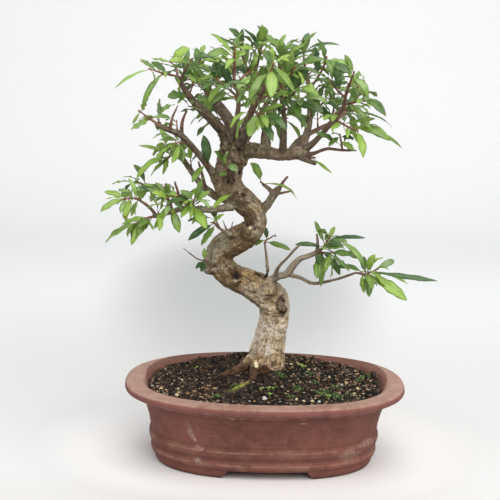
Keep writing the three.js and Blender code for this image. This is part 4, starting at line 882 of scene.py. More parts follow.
# %% The sprays
SPRAYS = {
    "crown_left_tip": (0.45, 0, 18, ((-66, -2, 274), (-74, -10, 276), (-83, -17, 279)), (
        ((-84, 2, 283), 4.2, 0.15), ((-88, -22, 253), 4.1, 0.22), ((-91, -10, 285), 3.4, 0.1),
        ((-106, -30, 266), 2.7, 0.1))),
    "crown_left_top": (0.5, 2, 19, ((-65, -2, 273), (-67, 6, 279), (-71, 12, 283)), (
        ((-85, 8, 285), 3.5, 0.1), ((-58, 16, 293), 7.7, 0.2))),
    "crown_left_front": (0.6, 2, 20, ((-63, 0, 271), (-60, -10, 278), (-55, -18, 286)), (
        ((-70, -14, 281), 4.1, 0.1), ((-70, -24, 285), 7.4, 0.18), ((-38, -26, 286), 6.7, 0.2))),
    "crown_left_single": (0.2, 0, 20, ((-56, 2, 259), (-57, -6, 260), (-58, -12, 261)), (
        ((-71, -18, 260), 8.2, 0.15),)),
    "left_back_tip": (0.35, 1, 21, ((-52, 37, 271), (-53, 34, 278), (-51, 30, 285)), (
        ((-63, 26, 268), 6.4, 0.15), ((-35, 26, 283), 6.4, 0.2))),
    "left_back_mid": (0.2, 2, 21, ((-45, 35, 262), (-41, 26, 270), (-36, 18, 276)), (
        ((-53, 10, 279), 7, 0.12),)),
    "left_back_far": (0.1, 3, 20, ((-42, 34, 256), (-49, 46, 262), (-55, 56, 267)), ()),
    "leader_front_tip": (0.85, 0, 20, ((-26, -6, 282), (-26, -9, 288), (-26, -11, 295)), (
        ((-32, -26, 280), 5.4, 0.2), ((-46, -22, 287), 6.8, 0.22), ((-42, -14, 304), 5.4, 0.06),
        ((-24, 2, 301), 5.5, 0.1), ((-13, -16, 294), 3.4, 0.1))),
    "leader_front_left": (0.35, 3, 19, ((-23, -3, 260), (-30, -14, 267), (-37, -22, 273)), ()),
    "leader_front_right": (0.3, 3, 19, ((-25, -5, 269), (-20, 4, 274), (-15, 12, 278)), ()),
    "leader_back_tip": (0.3, 2, 20, ((-10, 51, 281), (-8, 46, 290), (-7, 42, 297)), (
        ((-21, 40, 307), 4.3, 0.15), ((-8, 34, 310), 9.3, 0.1))),
    "leader_back_left": (0.15, 3, 18, ((-12, 49, 270), (-18, 38, 280), (-22, 30, 291), (-22, 26, 297)), (
        ((-31, 18, 307), 4.9, 0.12), ((-44, 18, 303), 3.5, 0.06))),
    "leader_back_rear": (0.1, 3, 20, ((-12, 44, 260), (-18, 58, 265), (-23, 70, 270)), ()),
    "front_top": (0.6, 1, 22, ((-4, -40, 272), (-2, -46, 279), (0, -50, 285)), (
        ((-15, -58, 261), 6.5, 0.2), ((-1, -66, 264), 9, 0.16), ((14, -64, 268), 4.5, 0.12),
        ((-6, -40, 293), 5.9, 0.1))),
    "front_mid": (0.4, 2, 20, ((-8, -34, 262), (-10, -46, 267), (-15, -54, 271)), ()),
    "front_low": (0.55, 0, 20, ((-12, -25, 253), (-9, -35, 252), (-7, -43, 251)), (
        ((-15, -46, 237), 8.6, 0.12), ((7, -48, 259), 4, 0.1), ((1, -52, 235), 7.3, 0.12),
        ((-3, -60, 244), 5.9, 0.2), ((10, -52, 242), 5.9, 0.2))),
    "middle_front_tip": (0.4, 3, 19, ((5, -26, 279), (6, -28, 287), (5, -28, 295)), (
        ((-5, -22, 304), 4.7, 0.12),)),
    "middle_front_red": (0.3, 2, 22, ((6, -24, 274), (11, -36, 277), (14, -44, 283)), ()),
    "middle_front_big": (0.15, 1, 24, ((7, -19, 261), (13, -32, 264), (17, -42, 270)), (
        ((30, -52, 265), 8, 0.15), ((24, -42, 283), 8, 0.12))),
    "middle_front_low": (0.2, 0, 24, ((9, -14, 253), (14, -22, 256), (18, -29, 260)), (
        ((18, -34, 250), 8.1, 0.15), ((35, -34, 253), 8.7, 0.15), ((37, -44, 260), 6.6, 0.2))),
    "right_leader_tip": (0.35, 2, 20, ((25, 37, 278), (23, 35, 288), (23, 32, 296)), (
        ((7, 30, 292), 5, 0.3), ((48, 26, 297), 2.8, 0.15), ((32, 26, 306), 3.5, 0.05))),
    "right_leader_outer": (0.4, 3, 22, ((27, 31, 264), (33, 22, 274), (37, 14, 283), (38, 10, 288)), (
        ((55, 4, 282), 8.4, 0.15),)),
    "right_leader_low": (0.15, 3, 21, ((28, 21, 246), (33, 12, 253), (38, 4, 259)), ()),
    "right_outer_tip": (0.35, 1, 20, ((52, -26, 271), (53, -30, 276), (54, -34, 280)), (
        ((64, -38, 264), 5.3, 0.3), ((41, -30, 284), 6.7, 0.12))),
    "right_outer_inner": (0.2, 3, 20, ((50, -21, 263), (45, -12, 267), (41, -4, 272)), ()),
    "right_outer_reach": (0.4, 0, 22, ((49, -19, 258), (55, -29, 260), (61, -37, 262)), (
        ((62, -40, 251), 4.7, 0.15), ((54, -42, 270), 6, 0.1), ((71, -26, 259), 6.8, 0.2),
        ((75, -50, 253), 5.9, 0.18))),
    "right_outer_back": (0.3, 1, 22, ((48, -18, 255), (54, -10, 253), (60, -2, 253)), (
        ((67, 0, 241), 6.3, 0.25), ((85, 2, 241), 2.8, 0.12))),
    "right_outer_low": (0.65, 0, 22, ((44, -14, 247), (51, -28, 244), (57, -40, 242)), (
        ((70, -34, 250), 3.4, 0.05), ((40, -42, 242), 5.3, 0.1), ((89, -32, 230), 3, 0.15),
        ((61, -50, 225), 6, 0.12), ((79, -42, 236), 6.7, 0.2))),
    "right_low_tip": (0.25, 1, 19, ((49, -22, 227), (48, -24, 232), (47, -25, 237)), (
        ((56, -34, 228), 4.7, 0.12), ((39, -30, 230), 4.7, 0.15), ((56, -30, 235), 4.1, 0.12))),
    "right_back_tip": (0.2, 3, 21, ((58, 57, 250), (64, 60, 257), (68, 62, 263)), ()),
    "right_back_mid": (0.1, 3, 21, ((44, 44, 240), (46, 42, 249), (46, 40, 258)), ()),
    "middle_back_tip": (0.2, 3, 21, ((7, 52, 267), (11, 54, 276), (14, 54, 286)), ()),
    "back_left_tip": (0.2, 3, 21, ((-39, 80, 257), (-41, 84, 264), (-44, 86, 272)), ()),
    "back_left_low": (0.1, 3, 21, ((-32, 56, 239), (-42, 66, 241), (-51, 74, 245)), ()),
    "back_right_tip": (0.2, 3, 21, ((4, 80, 262), (8, 83, 270), (13, 84, 277)), ()),
    "back_right_low": (0.1, 3, 21, ((-8, 58, 243), (3, 70, 240), (13, 80, 240)), ()),
    "right_stub_leaf": (0.2, 0, 20, ((28, -1, 219), (30, -6, 220), (31, -9, 220)), (
        ((43, -14, 210), 2.4, 0.12),)),
    "trunk_front_leaves": (0.45, 0, 18, ((-31, 10, 206), (-30, 0, 210), (-30, -8, 213)), (
        ((-35, -10, 206), 4.9, 0.1), ((-22, -14, 210), 5.5, 0.15), ((-39, -16, 224), 6.2, 0.1),
        ((-29, -16, 223), 6.2, 0.12))),
    "trunk_front_blade": (0.35, 0, 22, ((-25, 14, 189), (-24, 3, 193), (-23, -5, 196)), (
        ((-39, -18, 184), 3.8, 0.06),)),
    "shoulder_tip": (0.6, 0, 18, ((-79, -11, 242), (-85, -13, 246), (-90, -15, 250)), (
        ((-97, -14, 237), 6.2, 0.12), ((-70, -4, 245), 3.5, 0.1), ((-84, -19, 260), 6, 0.1))),
    "shoulder_dark": (0.1, 1, 17, ((-61, -3, 231), (-63, 4, 227), (-65, 10, 224)), (
        ((-70, 6, 221), 6.4, 0.15), ((-58, 10, 224), 5.7, 0.1))),
    "shoulder_blade": (0.12, 0, 24, ((-43, 12, 209), (-44, 6, 211), (-45, 1, 213)), (
        ((-47, -4, 234), 7, 0.08),)),
    "back_shoulder_tip": (0.7, 0, 20, ((-70, 39, 217), (-72, 31, 215), (-73, 24, 214)), (
        ((-95, 30, 222), 2.9, 0.1), ((-55, 22, 214), 4.3, 0.15), ((-81, 18, 224), 7.1, 0.12),
        ((-86, 28, 200), 3.6, 0.2), ((-95, 14, 199), 5.7, 0.2))),
    "pad_outer": (0.5, 0, 20, ((-89, -23, 190), (-94, -29, 192), (-99, -35, 192)), (
        ((-104, -20, 197), 6.9, 0.12), ((-98, -42, 181), 5, 0.15), ((-113, -30, 196), 4, 0.1),
        ((-114, -44, 184), 5, 0.12))),
    "pad_end": (0.5, 0, 24, ((-80, -14, 177), (-85, -20, 177), (-90, -26, 175)), (
        ((-103, -14, 171), 5, 0.1), ((-94, -34, 160), 5.9, 0.14), ((-112, -34, 161), 5.2, 0.12))),
    "pad_front": (0.65, 0, 22, ((-68, -7, 180), (-68, -16, 186), (-70, -22, 191)), (
        ((-62, -20, 167), 6.2, 0.1), ((-79, -24, 170), 5.5, 0.15), ((-85, -20, 198), 4.8, 0.15),
        ((-81, -30, 196), 8.2, 0.15))),
    "pad_middle": (0.55, 0, 24, ((-54, -1, 181), (-53, -10, 186), (-52, -17, 190)), (
        ((-43, -26, 171), 8.6, 0.12), ((-71, -26, 188), 6.9, 0.15), ((-41, -18, 196), 5.5, 0.15),
        ((-62, -16, 196), 4.8, 0.15))),
    "pad_back": (0.3, 2, 20, ((-87, 32, 191), (-92, 36, 193), (-97, 40, 194)), ()),
    "pad_underside": (0.15, 0, 22, ((-36, 3, 168), (-38, -5, 172), (-40, -10, 173)), (
        ((-47, -14, 157), 5.2, 0.12), ((-56, -16, 161), 5.2, 0.15), ((-31, -14, 180), 4.9, 0.12))),
    "left_whip_leaves": (0.2, 0, 14, ((-44, 12, 141), (-45, 5, 143), (-45, 0, 145)), (
        ((-47, -2, 136), 4.3, 0.1), ((-51, -6, 139), 3.9, 0.12), ((-45, -4, 154), 3.5, 0.1))),
    "snag_leaves": (0.35, 0, 22, ((-4, 7, 198), (-5, 3, 200), (-6, 0, 201)), (
        ((20, 6, 188), 2.5, 0.3), ((-14, -4, 215), 7, 0.05))),
    "low_right_top": (0.25, 0, 22, ((37, -1, 152), (40, -5, 158), (43, -8, 164)), (
        ((19, -2, 157), 3.5, 0.15), ((53, -18, 160), 3.5, 0.1), ((32, -10, 176), 3.9, 0.05),
        ((47, 2, 170), 3.5, 0.1), ((68, -14, 165), 3, 0.14))),
    "low_right_mid": (0.3, 0, 24, ((36, -1, 151), (40, -8, 153), (44, -14, 154)), (
        ((38, -6, 128), 5, 0.02), ((45, 4, 144), 5, 0.1), ((67, -18, 151), 6.3, 0.1),
        ((57, -24, 143), 4.5, 0.1))),
    "low_right_end": (0.5, 0, 26, ((62, -13, 140), (69, -16, 140), (76, -19, 144)), (
        ((47, -16, 144), 4.6, 0.1), ((51, -14, 162), 4.2, 0.28), ((71, -24, 125), 6.3, 0.1),
        ((74, -26, 156), 5.6, 0.1), ((97, -28, 124), 8.3, 0.12), ((100, -8, 131), 3, 0.12),
        ((89, -12, 149), 4.9, 0.1), ((118, -26, 138), 4.5, 0.14))),
    "low_right_riser_leaves": (0.2, 0, 22, ((-2, 27, 152), (-1, 26, 155), (2, 25, 157)), (
        ((17, 20, 149), 5.1, 0.12), ((-9, 30, 150), 3.7, 0.1), ((-2, 26, 165), 3.6, 0.1),
        ((6, 18, 159), 2.9, 0.1))),
}

print("sprays:", len(SPRAYS), "leaves read from the plant:", sum(len(s[4]) for s in SPRAYS.values()))

# %% [markdown]
# ## How a leaf leaves its twig
#
# Pomegranate leaves are narrow, stand in opposite pairs on short twigs, and crowd at the twigs' ends.
# A leaf is described by five things: its base, its tip, a crest that lifts its midrib into an arch, its
# width, and the way its upper face looks. The rule below is the one the plain solids were grown by, so
# the fine leaves lie where the plain ones lie.

# %% Draws that are the same on each run
def seeded(seed):
    """Draws numbers from 0 to 1 by a fixed rule, the same on each run."""
    state = seed

    def draw():
        nonlocal state
        state = state * 16807 % 2147483647
        return state / 2147483647
    return draw


first_draws = seeded(5)
print("first draws:", [round(first_draws(), 3) for _ in range(3)])

# %% A leaf's midrib, faces and width
VIEW_LEAN = np.array((0, -0.72, 0.69))
UP = np.array((0, 0, 1.0))


def midrib(leaf, t):
    return leaf["base"] * (1 - t) ** 2 + leaf["crest"] * 2 * t * (1 - t) + leaf["tip"] * t * t


def leaf_frame(leaf, t):
    """Along, upper face and side of the leaf at a place on its midrib."""
    along = unit((leaf["crest"] - leaf["base"]) * (1 - t) + (leaf["tip"] - leaf["crest"]) * t)
    up = square(along, leaf["face"])
    return along, up, np.cross(along, up)


def half_width(leaf, t):
    """Widest before its middle, narrow at its foot and at its tip."""
    return leaf["width"] / 2 * math.sin(math.pi * min(1, 0.05 + 0.95 * t) ** 1.25) ** 0.75


def make_leaf(base, out, tip, width, arch, face):
    chord = tip - base
    up = square(unit(chord), face)
    push = 0.25 * (1 - float(np.dot(out, unit(chord))))
    crest = (base + tip) / 2 + (up * 2 * arch + out * push) * np.linalg.norm(chord)
    return {"base": base, "tip": tip, "crest": crest, "width": width, "face": up}


def leaf_samples(leaf):
    """Points spread over a leaf, with their places along it, for keeping leaves clear of each other."""
    spots, places = [], []
    for i in range(1, 10):
        t = i / 9
        middle = midrib(leaf, t)
        side = leaf_frame(leaf, t)[2] * 0.9 * half_width(leaf, t)
        ways = (0, 1, -1) if i < 9 else (0,)
        spots += [middle + side * way for way in ways]
        places += [t] * len(ways)
    return np.array(spots), np.array(places)


flat_leaf = make_leaf(np.zeros(3), UP, np.array((20.0, 0, 0)), 6, 0.1, UP)
print("samples of one leaf:", len(leaf_samples(flat_leaf)[0]))

# %% Keep leaves clear of the wood and of each other
LEAF_CLEARANCE = 2.7
WOOD_CLEARANCE = 1.6
OWN_CLEARANCE = 1.5
FOOT_SHARE = 0.25  # so much of a leaf may touch the wood
CROWDED_SHARE = 0.3  # and so much may touch its own spray
RING_REACH = 18
MOST_SPOTS = 60000

taken_spots = np.full((MOST_SPOTS, 3), 1e6)
taken_owner = np.zeros(MOST_SPOTS, int)
taken_count = 0
wood_rings = np.vstack([smooth_path(rings, 3) for rings in [TRUNK, *LIMBS.values()]])


def claim(owner, spots):
    """Writes down the places that a twig or a leaf of one spray takes."""
    global taken_count
    taken_spots[taken_count:taken_count + len(spots)] = spots
    taken_owner[taken_count:taken_count + len(spots)] = owner
    taken_count += len(spots)


def is_clear(owner, spots, places, clearance=LEAF_CLEARANCE, own_clearance=OWN_CLEARANCE,
             wood_clearance=WOOD_CLEARANCE):
    """Whether a leaf keeps clear of the wood and of the leaves that have claimed their places."""
    low, high = spots.min(axis=0), spots.max(axis=0)
    near = (wood_rings[:, :3] > low - RING_REACH) & (wood_rings[:, :3] < high + RING_REACH)
    rings = wood_rings[np.all(near, axis=1)]
    blade = spots[places > FOOT_SHARE]
    gaps = np.linalg.norm(blade[:, None] - rings[None, :, :3], axis=2) - rings[:, 3]
    if (gaps < wood_clearance).any():
        return False
    reach = max(clearance, own_clearance)
    taken, owners = taken_spots[:taken_count], taken_owner[:taken_count]
    close = np.all((taken > low - reach) & (taken < high + reach), axis=1)
    away = np.linalg.norm(spots[:, None] - taken[close][None], axis=2)
    own = (owners[close] == owner)[None, :]
    needed = np.where(own, own_clearance, clearance)
    counts = ~(own & (places < CROWDED_SHARE)[:, None])
    return not ((away < needed) & counts).any()


print("rings of wood that leaves keep clear of:", len(wood_rings))

# %% Keep the crown clipped
# The outlines of the foliage as an eye in front sees them: x and height of each corner.
CROWN_OUTLINE = ((-87, 283), (-68, 289), (-47, 296), (-28, 308), (-7, 311), (3, 305), (30, 306),
                 (49, 293), (66, 274), (80, 256), (92, 228))
CROWN = (*CROWN_OUTLINE, (80, 227), (68, 218), (49, 221), (36, 218), (22, 214), (11, 214), (-1, 218),
         (-18, 216), (-38, 223), (-45, 233), (-56, 250), (-69, 267), (-84, 268))
LEFT_PADS = ((-99, 237), (-92, 257), (-84, 268), (-72, 269), (-56, 260), (-46, 244), (-31, 209), (-33, 177),
             (-55, 167), (-64, 163), (-84, 165), (-99, 157), (-115, 154), (-116, 163), (-105, 175),
             (-119, 180), (-116, 189), (-113, 198), (-105, 204), (-91, 211), (-84, 218), (-84, 225),
             (-94, 232))
RIGHT_PAD = ((0, 150), (5, 161), (23, 164), (32, 173), (44, 169), (55, 169), (67, 164), (74, 154), (84, 150),
             (93, 146), (109, 144), (120, 134), (95, 129), (99, 118), (81, 123), (71, 120), (59, 133),
             (38, 128))
EYE_DISTANCE = 900
EYE_HEIGHT = 318.6
# Where light shows through the foliage: x, height and radius of each opening.
OPENINGS = (
    (-40, 227, 4.7), (-52, 262, 4.7), (-47, 238, 4.5), (-53, 234, 4.2), (-19, 278, 4.1), (-42, 233, 3.8),
    (13, 244, 3.8), (-29, 255, 3.7), (57, 245, 3.2), (-57, 266, 3.0), (33, 226, 3.0), (-40, 269, 2.9),
    (35, 229, 2.8), (-14, 251, 2.7), (-54, 243, 2.7), (-39, 247, 2.6), (-56, 248, 2.6), (-64, 246, 2.5),
    (-14, 262, 2.3), (-16, 301, 2.2), (21, 251, 2.3), (41, 254, 2.2), (-15, 287, 2.0), (-80, 205, 4.9),
    (-65, 209, 4.4), (-60, 197, 4.3), (-70, 204, 4.2), (-55, 212, 3.4), (-88, 201, 2.7), (-43, 203, 2.2),
)


def seen_from_front(spots):
    """Where points are seen by an eye in front of the plant, as x and height."""
    scale = EYE_DISTANCE / (EYE_DISTANCE + spots[:, 1])
    return spots[:, 0] * scale, EYE_HEIGHT + (spots[:, 2] - EYE_HEIGHT) * scale


def is_clipped(spots):
    """Whether some of a leaf would stand out over the clipped outline of the crown."""
    x, z = seen_from_front(spots)
    edge = np.array(CROWN_OUTLINE, float)
    inside = (x >= edge[0, 0]) & (x < edge[-1, 0])
    return bool((inside & (z > np.interp(x, edge[:, 0], edge[:, 1]))).any())


def is_in_opening(spots):
    """Whether some of a leaf would lie across an opening of the foliage."""
    x, z = seen_from_front(spots)
    return any((np.hypot(x - cx, z - cz) < radius).any() for cx, cz, radius in OPENINGS)


def is_within(spots, outlines):
    """Whether all of a leaf lies within one of the outlines."""
    x, z = seen_from_front(spots)
    for outline in outlines:
        hits = np.zeros(len(x), bool)
        for (ax, az), (bx, bz) in zip(outline, (*outline[1:], outline[0])):
            crosses = (az > z) != (bz > z)
            level = ax + (z - az) * (bx - ax) / (bz - az if bz != az else 1)
            hits ^= crosses & (x < level)
        if hits.all():
            return True
    return False


print("the middle of the crown lies within its outline:", is_within(np.array([(0, 0, 260.0)]), [CROWN]))

# %% Twigs and the places where leaves leave them
TWIG_RADIUS = 0.9
STATION = 1.3
FIRST_STATION = 0.34
STATIONS_RUN = 0.6
QUARTER = math.pi / 2


def twig_frame(points):
    along = unit(points[-1] - points[0])
    level = square(along, np.array((1.0, 0, 0)) if abs(along[2]) > 0.9 else UP)
    return along, level, np.cross(along, level)


def twig_point(points, s):
    place = s * (len(points) - 1)
    i = min(int(math.floor(place)), len(points) - 2)
    return points[i] + (points[i + 1] - points[i]) * (place - i)


def station_place(index, count):
    """How far along its twig a pair of leaves stands."""
    return FIRST_STATION + STATIONS_RUN * index / max(count - 1, 1)


def port_way(ways, port):
    """The way out of a twig: a quarter turn for each of four ports, or straight on at its end."""
    along, level, across = ways
    if port == "end":
        return along
    return level * math.cos(port * QUARTER) + across * math.sin(port * QUARTER)


def port_base(points, ways, place, port):
    if port == "end":
        length = float(np.linalg.norm(points[-1] - points[0]))
        return twig_point(points, max(1.0, place + STATION / length))
    return twig_point(points, place) + port_way(ways, port) * TWIG_RADIUS * math.sqrt(0.5)


def side_port(ways, way):
    return max(range(4), key=lambda port: float(np.dot(port_way(ways, port), way)))


def draw_leaf(draw, spray_length, base, out, along):
    """One drawn leaf: it leaves the twig at a slant, arches and hangs a little."""
    lean = 0.9 + 0.7 * draw()
    length = spray_length * (0.8 + 0.4 * draw())
    swing = np.cross(along, out) * 0.7 * (draw() - 0.5)
    way = unit(along + (out + swing) * lean + UP * -0.35 * draw())
    tip = base + way * length
    arch = 0.06 + 0.12 * draw()
    width = length * (0.23 + 0.08 * draw())
    face = unit(along * 0.4 + UP * 0.45 + VIEW_LEAN * 0.35 * draw())
    return make_leaf(base, out, tip, width, arch, face)


print("three pairs of leaves stand at", [round(station_place(k, 3), 2) for k in range(3)], "of their twig")

# %% Plan the stations of each spray
END_WAY = 0.82  # a leaf that points this much along its twig grows from the twig's end


def plan_spray(name):
    young, pairs, length, twig, shown = SPRAYS[name]
    twig = [np.array(p, float) for p in twig]
    ways = twig_frame(twig)
    stations = [[(pair % 2, None), (pair % 2 + 2, None)] for pair in range(pairs)]
    end = None
    for leaf in shown:
        way = unit(np.array(leaf[0], float) - twig[1])
        port = "end" if float(np.dot(ways[0], way)) > END_WAY else side_port(ways, way)
        last = stations[-1] if stations else None
        if port == "end" and end is None:
            end = ("end", leaf)
        elif last and len(last) == 1 and port != "end" and abs(last[0][0] - port) == 2:
            last.append((port, leaf))
        else:
            stations.append([(side_port(ways, way) if port == "end" else port, leaf)])
    if end:
        stations.append([end])
    return {"name": name, "young": young, "length": length, "twig": twig, "ways": ways,
            "stations": stations, "leaves": []}


sprays = [plan_spray(name) for name in SPRAYS]
for owner, spray in enumerate(sprays):
    claim(owner, [twig_point(spray["twig"], s) for s in (0, 0.25, 0.5, 0.75, 1)])
print("stations:", sum(len(spray["stations"]) for spray in sprays))

# %% Grow the leaves: first those that the plant shows, then the pairs that fill it up
TRIES = 16


def grow_leaf(owner, spray, index, port, shown):
    """The leaf of one port, or None where each of a few tries was in the way."""
    place = station_place(index, len(spray["stations"]))
    out = port_way(spray["ways"], port)
    base = port_base(spray["twig"], spray["ways"], place, port)
    if shown:
        tip, width, arch = shown
        return make_leaf(base, out, np.array(tip, float), width, arch, VIEW_LEAN)
    draw = seeded(1000 + 97 * owner + 13 * index + port)
    for _ in range(TRIES):
        leaf = draw_leaf(draw, spray["length"], base, out, spray["ways"][0])
        spots, places = leaf_samples(leaf)
        if not is_clipped(spots) and is_clear(owner, spots, places):
            return leaf
    return None


for shown_first in (True, False):
    for owner, spray in enumerate(sprays):
        for index, station in enumerate(spray["stations"]):
            for port, shown in station:
                if bool(shown) == shown_first:
                    leaf = grow_leaf(owner, spray, index, port, shown)
                    if leaf:
                        spray["leaves"].append(leaf)
                        claim(owner, leaf_samples(leaf)[0])
print("leaves on the plain solids' places:", sum(len(spray["leaves"]) for spray in sprays))

# %% [markdown]
# ## Small leaves between the large ones
#
# On the real plant, each twig also carries smaller leaves in its axils and a tuft of new ones at its
# tip, and the limbs break into short spurs with leaves of their own. They fill the crown up without
# changing its outline. They are drawn by the same rule, a size smaller and with a closer fit.

# %% Add axil leaves and tip tufts
OUTLINES = (CROWN, LEFT_PADS, RIGHT_PAD)
FINE_CLEARANCE = 1.7
FINE_OWN = 0.9
FINE_WOOD = 0.9
FINE_TRIES = 10
CROWN_FOOT = 225
CROWN_PLACES = (0.2, 0.6, 1.0)
PAD_PLACES = (0.1, 0.3, 0.5, 0.7, 0.85, 1.0)
SPARSE = {  # sprays with only a leaf or two beside those that are seen
    "crown_left_single", "shoulder_tip", "shoulder_dark", "shoulder_blade", "trunk_front_leaves",
    "trunk_front_blade", "right_low_tip", "right_stub_leaf", "left_whip_leaves", "snag_leaves",
    "low_right_riser_leaves", "pad_underside", "crown_left_top", "leader_front_left", "left_back_mid",
}


def draw_fine_leaf(draw, length, base, out, along):
    """A smaller leaf. It stands more freely than those of the pairs, and some hang."""
    length *= 0.75 + 0.5 * draw()
    sway = np.array([draw() - 0.5 for _ in range(3)])
    way = unit(along * (0.2 + 0.8 * draw()) + out * (0.5 + 0.6 * draw()) + sway * 0.9 - UP * 0.5 * draw())
    face = unit(UP * (0.3 + 0.5 * draw()) + VIEW_LEAN * 0.5 * draw() + sway * 0.8)
    width = length * (0.22 + 0.12 * draw())
    return make_leaf(base, out, base + way * length, width, 0.06 + 0.16 * draw(), face)


def add_fine_leaf(owner, spray, draw, base, out, along, length):
    for _ in range(FINE_TRIES):
        leaf = draw_fine_leaf(draw, length, base, out, along)
        spots, places = leaf_samples(leaf)
        fits = is_within(spots, OUTLINES) and not is_in_opening(spots)
        if fits and is_clear(owner, spots, places, FINE_CLEARANCE, FINE_OWN, FINE_WOOD):
            leaf["fine"] = True
            spray["leaves"].append(leaf)
            claim(owner, spots)
            return True
    return False


added = 0
for owner, spray in enumerate(sprays):
    draw = seeded(70001 + 911 * owner)
    along, level, across = spray["ways"]
    places = CROWN_PLACES if spray["twig"][0][2] > CROWN_FOOT else PAD_PLACES
    sparse = spray["name"] in SPARSE
    for place in (places[-1:] if sparse else places):
        for side in range(1 if sparse else 2):
            turn = math.tau * (draw() * 0.5 + side * 0.5)
            out = level * math.cos(turn) + across * math.sin(turn)
            base = twig_point(spray["twig"], place) + out * 0.5
            length = spray["length"] * (0.42 + 0.4 * draw())
            added += add_fine_leaf(owner, spray, draw, base, out, along, length)
print("axil and tip leaves:", added)

# %% Add spurs to the limbs
SPUR_LIMBS = (
    "crown_left", "crown_left_back", "leader_front", "leader_back", "crown_front", "right_outer",
    "right_leader", "middle_back", "middle_front", "right_back", "back_left", "back_right",
    "shoulder_left", "back_shoulder", "low_left", "low_left_back", "left_snag",
)
SPUR_SHARES = (0.5, 0.7, 0.9)


def plan_spur(draw, name, ring, along, side, across):
    """A short twig out of a limb, at one of its rings."""
    turn = math.tau * draw()
    out = side * math.cos(turn) + across * math.sin(turn)
    way = unit(out + along * 0.5 + UP * 0.4)
    foot = ring[:3] + out * ring[3] * 0.4
    length = 5 + 5 * draw()
    twig = [foot, foot + way * (ring[3] * 0.6 + length * 0.5), foot + way * (ring[3] * 0.6 + length)]
    return {"name": name, "young": 0.15 + 0.5 * draw(), "length": 15 + 5 * draw(), "twig": twig,
            "ways": twig_frame(twig), "leaves": []}


spurs = []
for number, limb in enumerate(SPUR_LIMBS):
    path = smooth_path(LIMBS[limb], PATH_STEPS)
    frames = carried_frames(path)
    draw = seeded(40009 + 577 * number)
    for share in SPUR_SHARES:
        row = min(int(share * (len(path) - 1)), len(path) - 2)
        spur = plan_spur(draw, f"spur_{limb}_{round(100 * share)}", path[row], *frames[row])
        owner = len(sprays) + len(spurs)
        for place, leaves in ((0.6, 2), (1.0, 3)):
            for k in range(leaves):
                angle = math.tau * (k / 3 + draw() * 0.2)
                out = spur["ways"][1] * math.cos(angle) + spur["ways"][2] * math.sin(angle)
                base = twig_point(spur["twig"], place) + out * 0.4
                add_fine_leaf(owner, spur, draw, base, out, spur["ways"][0], spur["length"])
        if len(spur["leaves"]) > 1:
            spurs.append(spur)
print("spurs:", len(spurs), "with", sum(len(spur["leaves"]) for spur in spurs), "leaves")

# %% [markdown]
# ## A leaf in the round
#
# A pomegranate leaf is smooth and a little leathery. Its midrib is sunk above and stands out below, its
# halves rise from it like an open book, its margin waves gently, and it narrows into a short stalk. The
# mesh is one closed skin: an upper sheet, a lower sheet and a shared margin. Its points know how far
# along and across the leaf they lie, which is what the veins are drawn by.

# %% The points of one leaf
LEAF_ROWS = 13
LEAF_COLUMNS = (-1.0, -0.62, -0.13, 0.0, 0.13, 0.62, 1.0)
LEAF_THICKNESS = 0.34
STALK_SHARE = 0.09
STALK_RADIUS = 0.33
OPENED_SHARE = 0.97


def leaf_outline(leaf, t):
    """Half width: a thin stalk that opens into the blade."""
    if t >= OPENED_SHARE:
        return half_width(leaf, t)
    opening = held((t - STALK_SHARE) / 0.14)
    opening = opening * opening * (3 - 2 * opening)
    return STALK_RADIUS + (max(half_width(leaf, t), 0.12) - STALK_RADIUS) * opening


def leaf_sheets(leaf, draw):
    """The points of the upper and the lower sheet, row by row, with their places along and across."""
    fold = 0.15 + 0.45 * draw()
    wave, beat, phase = 0.12 + 0.2 * draw(), 1.5 + 2.5 * draw(), math.tau * draw()
    twist, curl = 1.3 * (draw() - 0.5), 0.16 * draw()
    upper, lower, places = [], [], []
    for i in range(LEAF_ROWS):
        t = i / LEAF_ROWS
        middle = midrib(leaf, t)
        _, up, side = leaf_frame(leaf, t)
        turn = twist * t
        side, up = side * math.cos(turn) + up * math.sin(turn), up * math.cos(turn) - side * math.sin(turn)
        reach = leaf_outline(leaf, t)
        blade = held((t - STALK_SHARE) / 0.12)
        for v in LEAF_COLUMNS:
            ripple = math.sin(phase + beat * math.tau * t + (1.3 if v < 0 else 0))
            lift = blade * reach * (fold * abs(v) ** 1.2 - (curl + 0.12) * abs(v) ** 3)
            lift += blade * wave * reach * v * abs(v) * ripple
            groove = -0.07 * blade if v == 0 else 0.0
            rib = 0.22 * (1 - 0.7 * t) if v == 0 else 0.0
            thick = LEAF_THICKNESS * (1.0 if t < STALK_SHARE else 0.75) * (1 - v * v)
            point = middle + side * v * reach + up * lift
            upper.append(point + up * (thick * 0.5 + groove))
            lower.append(point - up * (thick * 0.5 + rib * blade))
            places.append((t, v))
    return upper, lower, places


example = sprays[0]["leaves"][0]
print("points of an upper sheet:", len(leaf_sheets(example, seeded(5))[0]))

